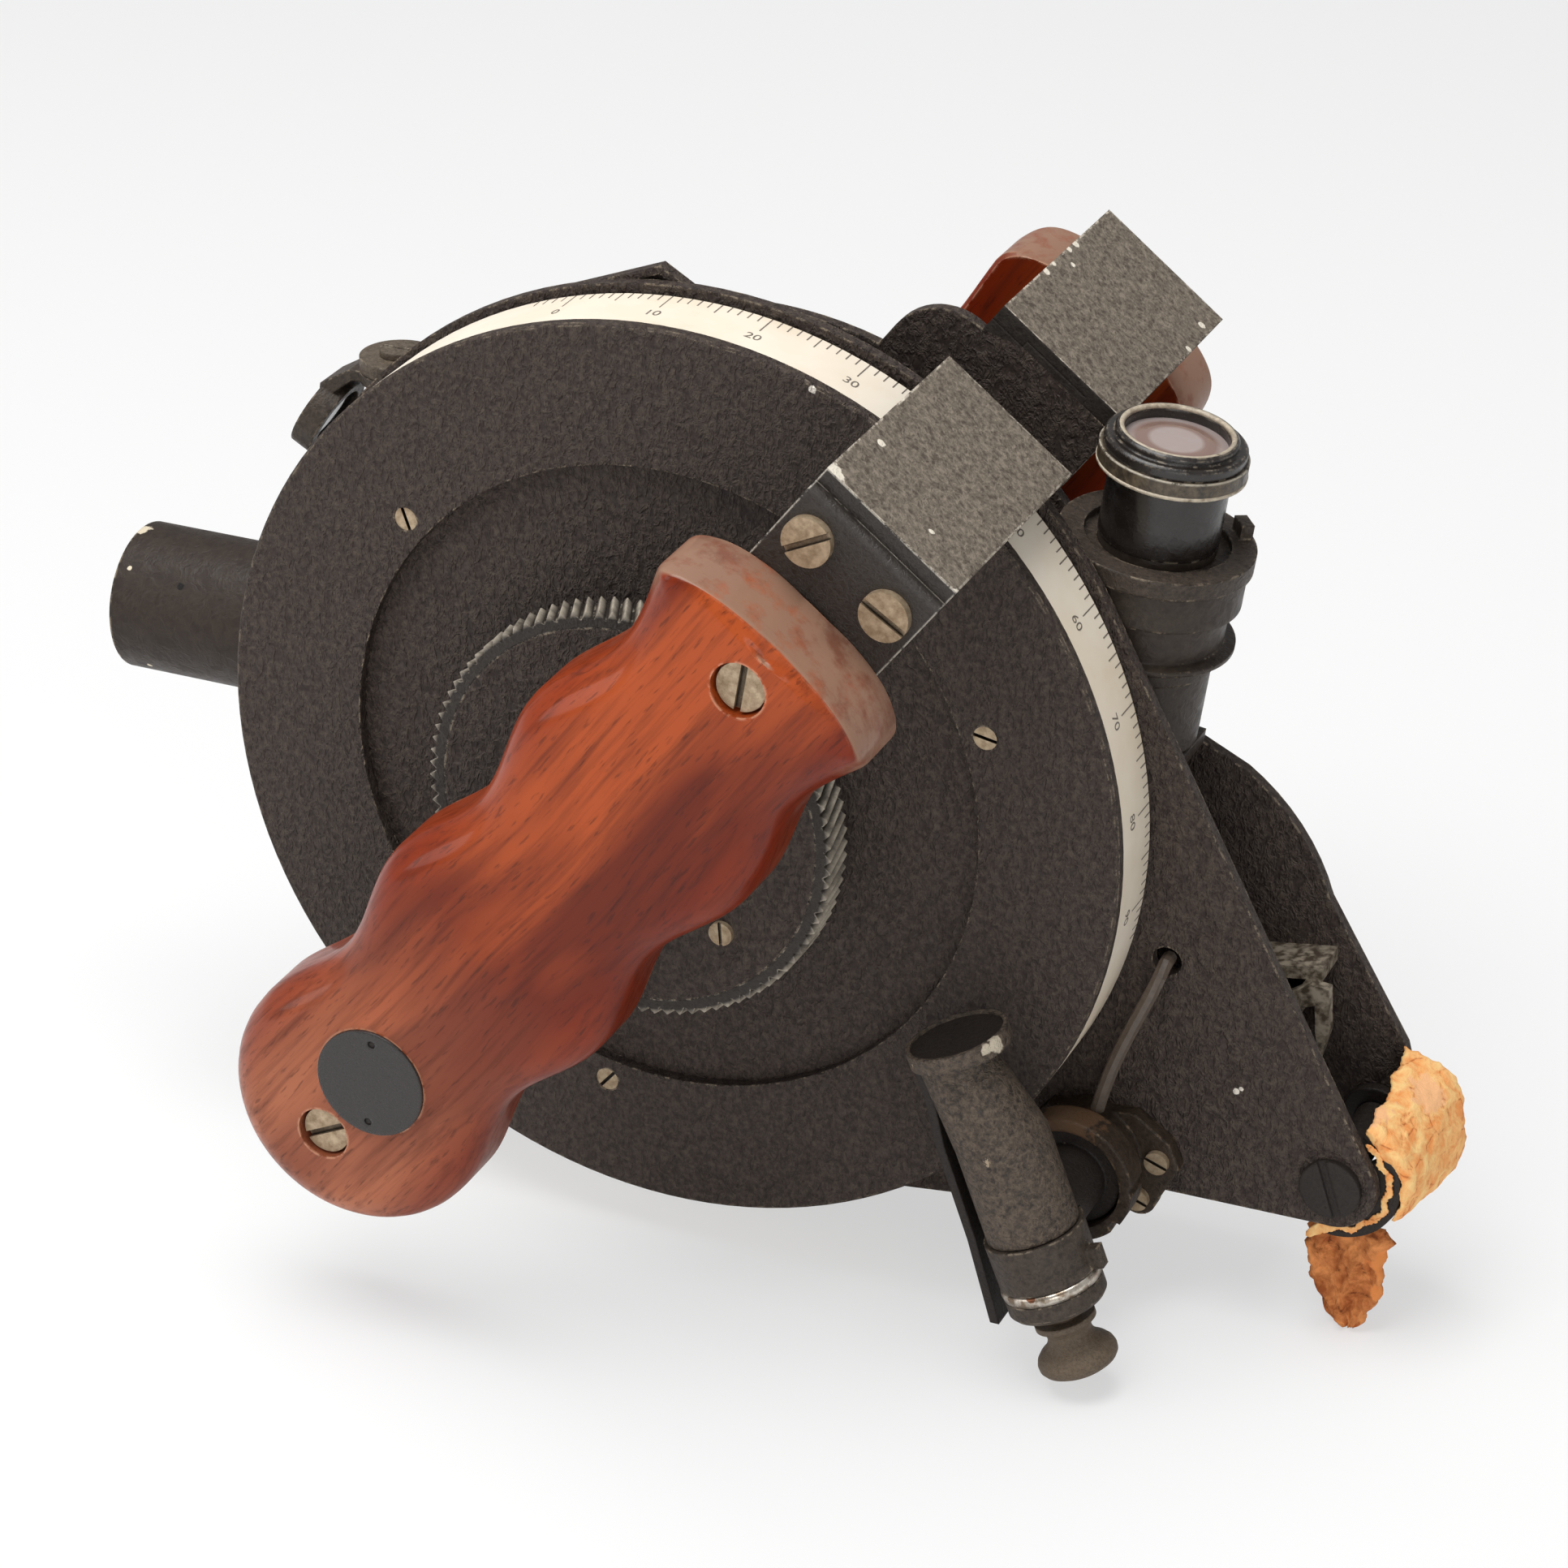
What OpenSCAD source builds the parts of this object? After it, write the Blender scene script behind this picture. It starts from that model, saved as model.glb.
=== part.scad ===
// Hand-held aircraft bubble sextant: a graduated drum on a two-plate body, with a sight tube,
// a bubble unit, a swivelling lamp, a forehead pad and a wooden grip on each side.
// Origin on the drum axis, in the plane of the drum's front face. X points right, +Y to the
// rear of the instrument and Z up, with the sight line level, as it is held in use.

/* [Drum] */
// Radius of the graduated drum
drum_r = 60; // [59:0.1:60.5]
// Depth of the drum from its front face to its rear edge
drum_w = 10.6; // [9.5:0.1:10.8]
// Thickness of the drum's front annulus
annulus_t = 1.6; // [1.2:0.1:2.2]
// Radius of the round opening that the centre disc shows through
recess_r = 42.1; // [36:0.1:43]
// Thickness of the centre disc behind the annulus
centre_disc_t = 1.6; // [1.2:0.1:2.4]
// Thickness of the white scale band
band_t = 1.2; // [0.8:0.1:1.8]
// Circle of the three drum screws
drum_screw_pitch_r = 45.2; // [44.5:0.1:48]
// Diameter of the small instrument screw heads
small_head_d = 3.1; // [2.6:0.1:3.6]

/* [Thumb wheel] */
// Radius over the teeth of the thumb wheel
wheel_r = 27; // [24:0.5:30]
// Number of slanted teeth on the thumb wheel
wheel_teeth = 96; // [80:2:110]
// Height of a thumb wheel tooth
wheel_tooth_h = 0.9; // [0.5:0.1:1.2]
// Width of the toothed rim
wheel_w = 5; // [4:0.1:7]
// Distance of the wheel's front face ahead of the drum's front face
wheel_stand = 9.6; // [8.6:0.1:11]
// Circle of the thumb wheel's screws
wheel_screw_pitch_r = 18.2; // [14:0.1:20]

/* [Spindle and gears] */
// Radius of the drum spindle
spindle_r = 4; // [3:0.1:5]
// Running clearance on radius of every turning fit
fit = 0.04; // [0.02:0.01:0.08]
// Module of the reduction gears
gear_module = 0.8; // [0.75:0.05:0.85]
// Teeth of the pinion on the drum spindle
pinion_teeth = 14; // [14:1:15]
// Teeth of the full circle that the mirror sector is cut from
sector_teeth = 35; // [34:1:36]
// Face width of the pinion and the sector
gear_w = 2.8; // [2:0.1:3.2]

/* [Body plates] */
// Distance from the drum's front face to the front plate
front_plate_y = 11.4; // [11.2:0.1:12]
// Thickness of both body plates
plate_t = 1.6; // [1.2:0.1:2]
// Clear space between the body plates
plate_gap = 17.4; // [17.2:0.1:19]
// Reach of the front plate's round guard past the drum's rim
guard_margin = 1; // [0.8:0.1:1.8]
// Radius of the rear plate's round part
rear_r = 52; // [51:0.5:54]
// Sideways reach of the narrow corner's pin past the guard
pin_ahead = 24.1; // [22:0.1:26]
// Depth of that pin below the drum axis
pin_drop = 43.1; // [42:0.1:44]
// Radius of the plates' rounded corner about the pin
corner_r = 5.7; // [5.5:0.1:6.5]
// Outer radius of the inner wall that joins the plates
wall_r = 50; // [48:0.5:50.5]
// Thickness of the inner wall
wall_t = 1.6; // [1.2:0.1:2]

/* [Sight tube] */
// Outer radius of the sight tube
tube_r = 9.8; // [9.2:0.1:10]
// Wall of the sight tube
tube_wall = 1.4; // [1:0.1:2]
// Distance of the tube's open end from the drum axis
tube_reach = 86.2; // [80:0.1:95]

/* [Brackets and grips] */
// Angle of the grips above the level
grip_angle = 52; // [50:0.5:54]
// Width of the brackets and straps
strap_w = 20; // [18:0.5:22]
// Thickness of the bent brackets
bracket_t = 2.4; // [2:0.1:2.6]
// Gap between the guard's rim and the brackets
bracket_gap = 1.4; // [1:0.1:2.6]
// Depth of a bracket from its plate to its flange
bracket_reach = 34.2; // [33.5:0.1:40]
// Length of the flange that carries the strap
flange_len = 15.8; // [14:0.1:18]
// Thickness of the strap under each grip
strap_t = 1.5; // [1.2:0.1:2]
// Distance of the strap's screws from the brackets' outer faces
strap_screw_back = 7.5; // [6:0.1:9]
// Distance between the two strap screws
strap_screw_gap = 12; // [9:0.1:13]
// Diameter of the large screw heads
large_head_d = 6.1; // [5.4:0.1:6.6]
// Thickness of each wooden grip
grip_t = 12.5; // [10:0.1:15]
// Mean half width of each grip
grip_half_w = 15.4; // [13.5:0.1:16]
// Depth of the finger grooves either side of that mean
groove_wave = 1.6; // [0.8:0.1:2.2]
// Pitch of the finger grooves
groove_pitch = 31; // [29:0.5:33]
// Distance of the grips' upper ends from the brackets' outer faces
grip_top_back = 13.2; // [12:0.1:15]
// Distance of the centre of the grip's round lower end from the drum axis
grip_foot = 42.7; // [40:0.1:44]
// Radius of the plain badge let into the front grip
badge_r = 7.15; // [6:0.1:8]

/* [Bubble unit] */
// Sideways place where the bubble unit's axis meets the sight line
bubble_x = 49.6; // [49.2:0.1:50]
// Depth of the bubble unit's axis behind the drum's front face
bubble_y = 25.5; // [25.4:0.1:25.8]
// Lean of the bubble unit away from the drum
bubble_lean = 8.2; // [7.6:0.1:8.8]
// Radius of the band round the top of the bubble chamber
chamber_r = 11.5; // [11:0.1:11.6]
// Radius of the bubble-size ring
ring_r = 12.1; // [11.8:0.1:12.2]
// Radius of the black upper barrel
barrel_r = 7.4; // [7.1:0.1:7.6]
// Height of the lens rim above the sight line, along the unit's axis
lens_top = 47.6; // [47.4:0.1:50]

/* [Lamp] */
// Gap between the drum's rim and the lamp's cup
lamp_gap = 1.56; // [1:0.02:3]
// Angle of the lamp's pivot below the level, seen from the drum axis
lamp_angle = 39.3; // [38:0.1:41]
// Distance of the lamp's axis ahead of the drum's front face
lamp_ahead = 10; // [9:0.1:12]
// Lean of the lamp
lamp_lean = 20.5; // [15:0.5:25]
// Radius of the lamp's body
lamp_r = 5.9; // [5.5:0.1:6.2]
// Height of the lamp's top window above its pivot
lamp_top = 26.3; // [25:0.1:28]
// Radius of the swivel cup on the front plate
cup_r = 8.5; // [8:0.1:8.8]
// Travel of the push knob
knob_travel = 1.8; // [1:0.1:2]

/* [Forehead pad] */
// Inner radius of the pad's curved plate about the corner pin, at its front
pad_r = 7.3; // [7:0.1:7.8]
// Growth of that radius to the plate's rear edge
pad_flare = 2.5; // [1.5:0.1:2.8]
// Thickness of the pad's curved plate
pad_plate_t = 0.9; // [0.8:0.1:1.2]
// Thickness of the leather on the pad
leather_t = 1.3; // [0.9:0.1:1.8]

/* [Hidden] */

$fn = 64;
front_in = front_plate_y + plate_t;
rear_in = front_in + plate_gap;
rear_out = rear_in + plate_t;
mid_y = (front_plate_y + rear_out) / 2;
pin_z = -pin_drop;
guard_r = drum_r + guard_margin;
pin_x = guard_r + pin_ahead;
bracket_rho = guard_r + bracket_gap + bracket_t;
strap_screw_rho = bracket_rho - strap_screw_back;
grip_top = bracket_rho - grip_top_back;
lamp_rho = drum_r + lamp_gap + cup_r;
lamp_x = lamp_rho * cos(lamp_angle);
lamp_drop = lamp_rho * sin(lamp_angle);
lamp_place = [lamp_x, -lamp_drop];
seam = 0.05;

// Colours of the finishes
crackle = [0.20, 0.18, 0.17];
gloss_black = [0.12, 0.11, 0.11];
worn_black = [0.28, 0.26, 0.24];
screw_metal = [0.70, 0.62, 0.50];
steel = [0.62, 0.62, 0.60];
brass = [0.72, 0.60, 0.36];
wood = [0.50, 0.20, 0.11];
tan_leather = [0.86, 0.58, 0.33];
white_paint = [0.95, 0.93, 0.88];
clear_glass = [0.80, 0.78, 0.80];

// A flat plate in the X-Z plane whose front face lies at y0
module slab(y0, t) {
    translate([0, y0 + t, 0])
        rotate([90, 0, 0])
            linear_extrude(t)
                children();
}

// A body turned about the Y axis from a profile of [radius, y] points
module turned(profile) {
    rotate([-90, 0, 0])
        rotate_extrude($fn = 96)
            polygon(profile);
}

// A cylinder along Y from y0 to y1
module rod(r, y0, y1, x = 0, z = 0) {
    translate([x, y0, z])
        rotate([-90, 0, 0])
            cylinder(r = r, h = y1 - y0);
}

// Repeats its children at even angles about the Y axis
module around(n, first) {
    for (i = [0:n - 1])
        rotate([0, -(first + i * 360 / n), 0])
            children();
}

// The same piece on the rear side of the body
module to_rear() {
    translate([0, 2 * mid_y, 0])
        mirror([0, 1, 0])
            children();
}

// Local X runs up along the grips
module grip_frame() {
    rotate([0, -grip_angle, 0])
        children();
}

// Local Z runs up the bubble unit from the sight line
module bubble_frame() {
    translate([bubble_x, bubble_y, 0])
        rotate([0, bubble_lean, 0])
            children();
}

// Local Z runs up the lamp from its pivot
module lamp_frame() {
    translate([lamp_x, -lamp_ahead, -lamp_drop])
        rotate([0, -lamp_lean, 0])
            children();
}

// A cheese-head screw along Y with its head's face at y = 0, head towards the viewer
module slotted_screw(head_d, head_h, shank_r, length, slot_angle = 0) {
    slot_w = head_d * 0.14;
    difference() {
        rod(head_d / 2, 0, head_h);
        rotate([0, slot_angle, 0])
            translate([-head_d, -1, -slot_w / 2])
                cube([2 * head_d, 1 + head_h * 0.45, slot_w]);
    }
    rod(shank_r, head_h, length);
}

// A ring sector in the plane between two radii and two angles
module sector(r_in, r_out, a0, a1) {
    step = (a1 - a0) / 6;
    reach = 2 * r_out;
    intersection() {
        difference() {
            circle(r_out, $fn = 128);
            circle(r_in, $fn = 128);
        }
        polygon(concat([[0, 0]],
            [for (i = [0:6]) reach * [cos(a0 + i * step), sin(a0 + i * step)]]));
    }
}

// Points along an arc
function arc(c, r, a0, a1, n) =
    [for (i = [0:n]) c + r * [cos(a0 + (a1 - a0) * i / n), sin(a0 + (a1 - a0) * i / n)]];

// Body plates
bracket_half_w = strap_w / 2;
tab_rho = bracket_rho - bracket_t;
tab_foot_rho = 40;
tongue = 1;
tongue_half_w = strap_w / 4;
edge_angle = acos((guard_r - corner_r) / norm([pin_x, pin_z])) + atan2(pin_z, pin_x);
edge_dir = [cos(edge_angle), sin(edge_angle)];
corner = [pin_x, pin_z];
foot_z = pin_z - corner_r;
foot_bend = [pin_x - 25.1, foot_z - 0.4];
foot_low = [pin_x - 49.1, foot_z - 8];
guard_foot = (guard_r - seam) * [cos(-78), sin(-78)];
shoulder_c = [48.5, -23.5];
shoulder_r = 30;
tab_corner = [52.3, 10.2];
tab_corner_r = 8;
lead_hole = lamp_place + [8.4, 27.9];
lead_hole_r = 1.9;
pin_r = 2.5;
arbor_r = 2;
gear_distance = gear_module * (pinion_teeth + sector_teeth) / 2;
arbor_x = -gear_distance;
bush_wall = 2.4;
arbor_bush_r = 4.2;
cup_spigot_r = 4;
cup_wall = 1.6;

// Seat of a bracket on a plate, with a tongue let into the bracket
module bracket_tab() {
    rotate(grip_angle) {
        translate([tab_foot_rho, -bracket_half_w])
            square([tab_rho - tab_foot_rho, 2 * bracket_half_w]);
        translate([tab_rho - seam, -tongue_half_w])
            square([tongue + seam, 2 * tongue_half_w]);
    }
}

module front_outline() {
    circle(guard_r, $fn = 160);
    translate(corner)
        circle(corner_r);
    polygon([[0, 0], guard_foot, foot_low, foot_bend, [pin_x, foot_z + seam],
        corner, corner + (corner_r - seam) * edge_dir, (guard_r - seam) * edge_dir]);
    bracket_tab();
}

module rear_outline() {
    circle(rear_r, $fn = 160);
    translate(corner)
        circle(corner_r);
    polygon(concat([[0, 0], [20, -46], foot_bend, [pin_x, foot_z + seam], corner,
            corner + [corner_r - seam, 0], corner + [2.9, 10.5]],
        arc(shoulder_c, shoulder_r, 18, 56, 8), [[59, 4.4], [46, 6]]));
    bracket_tab();
    rotate(grip_angle) {
        translate(tab_corner)
            circle(tab_corner_r);
        translate([tab_foot_rho, 0])
            square([tab_corner.x - tab_foot_rho, tab_corner.y + tab_corner_r]);
        translate([tab_corner.x - seam, 0])
            square([tab_corner_r + seam, tab_corner.y]);
    }
}

// Room for the bubble unit, which stands out through the rear plate
notch_gap = 0.5;
module bubble_notch() {
    depth = rear_in - bubble_y;
    function half_chord(r) = sqrt(r * r - depth * depth) + notch_gap;
    translate([bubble_x, 0])
        rotate(-bubble_lean) {
            translate([-half_chord(foot_ring_r), neck_z - 0.8])
                square([2 * half_chord(foot_ring_r), 20]);
            translate([-half_chord(ring_r), foot_ring_z - notch_gap])
                square([2 * half_chord(ring_r), ring_z + ring_t + 2 * notch_gap - foot_ring_z]);
            translate([-half_chord(brass_r), ring_z])
                square([2 * half_chord(brass_r), 30]);
        }
}

module front_plate() color(crackle)
    difference() {
        slab(front_plate_y, plate_t)
            front_outline();
        rod(spindle_r + bush_wall, 0, rear_out);
        rod(arbor_bush_r, 0, rear_out, arbor_x, 0);
        rod(pin_r, 0, rear_out, pin_x, pin_z);
        rod(lead_hole_r, 0, rear_out, lead_hole.x, lead_hole.y);
        rod(cup_spigot_r + cup_wall, 0, rear_out, lamp_x, -lamp_drop);
        for (p = lamp_screw_places)
            rod(lamp_screw_r, 0, rear_out, p.x, p.y);
    }

module rear_plate() color(crackle)
    difference() {
        slab(rear_in, plate_t)
            difference() {
                rear_outline();
                bubble_notch();
            }
        rod(arbor_bush_r, 0, 2 * rear_out, arbor_x, 0);
        rod(pin_r, 0, 2 * rear_out, pin_x, pin_z);
    }

// Wall between the plates, open on the right, with two windows that let the star's light in
wall_from = 52;
wall_to = 318;
window_a = [101, 129];
window_b = [146, 158];
window_rim = 2.4;
wall_middle_r = wall_r - wall_t / 2;
strip_end_x = pin_x - 9.1;
module inner_wall() color(gloss_black)
    difference() {
        slab(front_in, plate_gap) {
            sector(wall_r - wall_t, wall_r, wall_from, wall_to);
            polygon([wall_middle_r * [cos(-45.7), sin(-45.7)], foot_bend + [0, 3.6],
                [strip_end_x, foot_z + 0.6], [strip_end_x, foot_z + 0.6 + wall_t], foot_bend + [0, 3.6 + wall_t],
                wall_middle_r * [cos(-43), sin(-43)]]);
        }
        slab(front_in + window_rim, plate_gap - 2 * window_rim)
            for (w = [window_a, window_b])
                sector(wall_r - 2 * wall_t, wall_r + wall_t, w[0], w[1]);
        translate([-wall_r - wall_t, mid_y, 0])
            rotate([0, 90, 0])
                cylinder(r = tube_root_r, h = 4 * wall_t);
    }

// Sight tube, turned down at its root to pass between the plates
tube_root = wall_r - 8;
tube_root_r = plate_gap / 2 - 0.1;
tube_root_bore = tube_root_r - 1.2;
tube_shoulder = guard_r + 0.3;
tube_bore = tube_r - tube_wall;
lens_seat = tube_reach - 7;
lens_t = 2.6;
lens_ring_w = 1.3;
module tube_frame() {
    translate([0, mid_y, 0])
        rotate([0, -90, 0])
            children();
}

module sight_tube() color(crackle)
    tube_frame()
        rotate_extrude($fn = 96)
            polygon([[tube_root_bore, tube_root], [tube_root_r, tube_root], [tube_root_r, tube_shoulder],
                [tube_r, tube_shoulder], [tube_r, tube_reach], [tube_bore, tube_reach],
                [tube_bore, tube_shoulder + 3], [tube_root_bore, tube_shoulder + 3]]);

// Collar that holds the tube in the wall; its flats lie against both plates
collar_w = 5;
collar_r = tube_r + 2.6;
module tube_collar() color(gloss_black)
    intersection() {
        tube_frame()
            difference() {
                translate([0, 0, wall_r])
                    cylinder(r = collar_r, h = collar_w);
                translate([0, 0, wall_r - 1])
                    cylinder(r = tube_root_r, h = collar_w + 2);
            }
        translate([-2 * wall_r, front_in, -wall_r])
            cube([2 * wall_r, plate_gap, 2 * wall_r]);
    }

module objective_lens() color(clear_glass)
    tube_frame()
        translate([0, 0, lens_seat])
            rotate_extrude($fn = 96)
                polygon([[0, 0], [tube_bore, 0], [tube_bore, lens_t - 0.8],
                    [tube_bore - lens_ring_w, lens_t - 0.8], [tube_bore * 0.6, lens_t - 0.2], [0, lens_t]]);

module lens_ring() color(worn_black)
    tube_frame()
        translate([0, 0, lens_seat + lens_t - 0.8])
            difference() {
                cylinder(r = tube_bore, h = 2);
                translate([0, 0, -1])
                    cylinder(r = tube_bore - lens_ring_w, h = 4);
            }

// Small sheet-metal gable soldered behind the guard's rim over the first window
hood_t = 0.9;
hood_depth = 1.8;
hood_web_t = 0.6;
hood_apex = [-5.6, guard_r + 1.5];
hood_floor = wall_r + 2;
hood_left = [-22.5, hood_floor + 4];
hood_right = [3.4, hood_floor + 5.2];
module index_hood() color(crackle) {
    slab(front_in, hood_depth)
        difference() {
            polygon([hood_apex, hood_right, [hood_right.x, hood_floor], [hood_left.x, hood_floor],
                hood_left]);
            polygon([hood_apex - [0, hood_t * 1.2], hood_right + [-hood_t, -hood_t * 0.6],
                [hood_right.x - hood_t, hood_floor + hood_t], [hood_left.x + hood_t, hood_floor + hood_t],
                hood_left + [hood_t, -hood_t * 0.6]]);
        }
    slab(front_in + hood_depth - hood_web_t, hood_web_t)
        polygon([hood_apex - [0, seam], hood_right - [seam, seam], [hood_right.x - seam, hood_floor + seam],
            [hood_left.x + seam, hood_floor + seam], hood_left + [seam, -seam]]);
}

// Brackets
flange_y = front_plate_y - bracket_reach;
flange_foot = bracket_rho - flange_len;
strap_front_y = flange_y - strap_t;
strap_screw_r = 1.5;
module bracket_solid() {
    grip_frame()
        difference() {
            union() {
                translate([tab_rho, flange_y, -strap_w / 2])
                    cube([bracket_t, front_in - flange_y, strap_w]);
                translate([flange_foot, flange_y, -strap_w / 2])
                    cube([flange_len, bracket_t, strap_w]);
            }
            translate([tab_rho - 1, front_plate_y, -tongue_half_w])
                cube([tongue + 1, plate_t + 1, 2 * tongue_half_w]);
            for (side = [-1, 1])
                rod(strap_screw_r, flange_y - 1, flange_y + 5, strap_screw_rho, side * strap_screw_gap / 2);
        }
}

module front_bracket() color(worn_black)
    bracket_solid();

module rear_bracket() color(worn_black)
    to_rear()
        bracket_solid();

// Straps that the grips are screwed to
strap_top = bracket_rho - 2.1;
strap_foot = -(grip_foot + 10);
strap_round = 1;
grip_screw_rhos = [44.4, -47];
grip_screw_r = 1.7;
module strap_solid() {
    grip_frame()
        difference() {
            union() {
                translate([0, 0, -strap_w / 2])
                    linear_extrude(strap_w)
                        polygon(concat([[strap_foot, flange_y], [strap_foot, strap_front_y]],
                            arc([strap_top - strap_round, strap_front_y + strap_round], strap_round, -90, 0, 6),
                            [[strap_top, flange_y]]));
                rod(strap_w / 2, strap_front_y, flange_y, strap_foot, 0);
            }
            for (side = [-1, 1])
                rod(strap_screw_r, strap_front_y - 1, flange_y + 1, strap_screw_rho,
                    side * strap_screw_gap / 2);
            for (rho = grip_screw_rhos)
                rod(grip_screw_r, strap_front_y - 1, flange_y + 1, rho, 0);
        }
}

module front_strap() color(crackle)
    strap_solid();

module rear_strap() color(crackle)
    to_rear()
        strap_solid();

strap_head_h = 1.1;
strap_slots = [85, 27];
module strap_screw_pair() {
    grip_frame()
        for (i = [0, 1])
            translate([strap_screw_rho, strap_front_y - strap_head_h, (i - 0.5) * strap_screw_gap])
                slotted_screw(large_head_d, strap_head_h, strap_screw_r,
                    strap_head_h + strap_t + bracket_t - 0.2, strap_slots[i]);
}

module strap_screws() color(screw_metal) {
    strap_screw_pair();
    to_rear()
        strap_screw_pair();
}

// Grips: one outline at several depths, joined into a rounded body
groove_x = 4.5;
edge_round = 4.2;
top_round = 7;
top_power = 2.3;
side_n = 36;
end_n = 12;
top_n = 20;
function half_w(x, mean, wave) = mean - wave * cos(360 * (x - groove_x) / groove_pitch);
function power_sin(a) = pow(abs(sin(a)), 2 / top_power);
function power_cos(a) = sign(cos(a)) * pow(abs(cos(a)), 2 / top_power);
function side_x(i, top) = -grip_foot + (top - top_round + grip_foot) * i / side_n;
function grip_outline(d, mean, wave, top) = let (foot_r = half_w(-grip_foot, mean, wave) - d)
    concat(
        [for (i = [0:2 * end_n - 1]) let (a = -90 - 90 * i / end_n)
            [-grip_foot, 0] + foot_r * [cos(a), sin(a)]],
        [for (i = [0:side_n - 1]) let (x = side_x(i, top))
            [x, half_w(x, mean, wave) - d]],
        [for (i = [0:top_n]) let (
                a = 180 * i / top_n,
                x = top - top_round + (top_round - d) * power_sin(a))
            [x, (half_w(x, mean, wave) - d) * power_cos(a)]],
        [for (i = [side_n - 1:-1:1]) let (x = side_x(i, top))
            [x, d - half_w(x, mean, wave)]]);
grip_levels = [[0, 0.7], [0.9, 0], [grip_t * 0.55, 0], [grip_t - 2.4, edge_round * 0.18],
    [grip_t - 0.8, edge_round * 0.5], [grip_t, edge_round]];
module grip_solid(mean = grip_half_w, wave = groove_wave, top = grip_top) {
    rings = [for (l = grip_levels) [for (p = grip_outline(l[1], mean, wave, top))
        [p.x, strap_front_y - l[0], p.y]]];
    n = len(rings[0]);
    m = len(rings);
    points = [for (ring = rings) for (p = ring) p];
    side_faces = [for (k = [0:m - 2]) for (i = [0:n - 1]) for (half = [0, 1]) let (
            a = k * n + i, b = k * n + (i + 1) % n)
        half == 0 ? [a, b, b + n] : [a, b + n, a + n]];
    ends = [[for (i = [n - 1:-1:0]) i], [for (i = [0:n - 1]) (m - 1) * n + i]];
    head_hole_r = large_head_d / 2 + 0.35;
    grip_frame()
        difference() {
            polyhedron(points, concat(side_faces, ends));
            for (rho = grip_screw_rhos) {
                rod(grip_screw_r, strap_front_y - grip_t - 1, strap_front_y + 1, rho, 0);
                rod(head_hole_r, strap_front_y - grip_t - 1, grip_head_y + 1.6, rho, 0);
            }
            children();
        }
}

grip_head_y = strap_front_y - grip_t + 1;
badge_rho = -35.5;
badge_t = 1.4;
badge_y = strap_front_y - grip_t - 0.3;
module front_grip() color(wood)
    grip_solid()
        rod(badge_r, badge_y - 1, badge_y + badge_t, badge_rho, 0);

// The rear grip is a palm rest: a little wider and taller, with hardly any grooves
module rear_grip() color(wood)
    to_rear()
        grip_solid(grip_half_w + 0.7, 0.5, grip_top + 2);

grip_slots = [-28, 26];
module grip_screw_pair() {
    grip_frame()
        for (i = [0, 1])
            translate([grip_screw_rhos[i], grip_head_y, 0])
                slotted_screw(large_head_d, 1.6, grip_screw_r, flange_y - grip_head_y, grip_slots[i]);
}

module grip_screws() color(screw_metal) {
    grip_screw_pair();
    to_rear()
        grip_screw_pair();
}

badge_pin_gap = 11.1;
badge_pin_turn = 33;
badge_pin_r = 0.5;
module badge_pin_places() {
    grip_frame()
        translate([badge_rho, 0, 0])
            rotate([0, -badge_pin_turn, 0])
                for (side = [-1, 1])
                    translate([side * badge_pin_gap / 2, 0, 0])
                        children();
}

module badge() color(gloss_black)
    difference() {
        grip_frame()
            rod(badge_r, badge_y, badge_y + badge_t, badge_rho, 0);
        badge_pin_places()
            rod(badge_pin_r, badge_y - 1, badge_y + 5);
    }

module badge_pins() color(screw_metal)
    badge_pin_places()
        rod(badge_pin_r, badge_y + 0.15, badge_y + badge_t);

// Spindle and its bush
bush_front = 4.4;
module spindle_bush() color(brass)
    turned([[spindle_r + fit, bush_front], [spindle_r + bush_wall, bush_front],
        [spindle_r + bush_wall, front_in + 0.5], [spindle_r + fit, front_in + 0.5]]);

hub_back = annulus_t + centre_disc_t;
wheel_front = -wheel_stand;
cap_t = 1;
pinion_y = front_in + 0.8;
module spindle() color(steel) {
    rod(spindle_r, wheel_front + cap_t, pinion_y);
    slab(pinion_y, gear_w)
        gear_2d(pinion_teeth, 180);
    rod(spindle_r + 2.6, hub_back, bush_front - 0.2);
}

// Involute gear outline with one tooth centred on the given angle
gear_press = 20;
backlash = 0.07;
function inv(a) = tan(a) * 180 / PI - a;
function tooth_half(r, rp, n) = let (rb = rp * cos(gear_press), a = r > rb ? acos(rb / r) : 0)
    90 / n - backlash / rp * 180 / PI + inv(gear_press) - inv(a);
module gear_2d(n, first) {
    rp = gear_module * n / 2;
    root = rp - 1.2 * gear_module;
    tip = rp + 0.9 * gear_module;
    base = max(root + 0.05, rp * cos(gear_press));
    flank = [root, base, (base + rp) / 2, rp, (rp + tip) / 2, tip];
    polygon([for (i = [0:n - 1]) each concat(
        [for (k = [0:5]) let (a = first + 360 * i / n - tooth_half(flank[k], rp, n))
            flank[k] * [cos(a), sin(a)]],
        [for (k = [5:-1:0]) let (a = first + 360 * i / n + tooth_half(flank[k], rp, n))
            flank[k] * [cos(a), sin(a)]])]);
}

// Drum
drum_screw_first = 19.5;
module drum_disc() color(crackle)
    difference() {
        turned([[recess_r, 0], [drum_r - 0.3, 0], [drum_r, 0.3], [drum_r, annulus_t],
            [drum_r - band_t, annulus_t], [drum_r - band_t, drum_w - 0.6],
            [drum_r - band_t - 1.6, drum_w - 0.6], [drum_r - band_t - 1.6, annulus_t],
            [recess_r, annulus_t]]);
        around(3, drum_screw_first)
            translate([drum_screw_pitch_r, 0, 0])
                rod(small_head_d / 2, -1, annulus_t + 1);
    }

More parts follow.
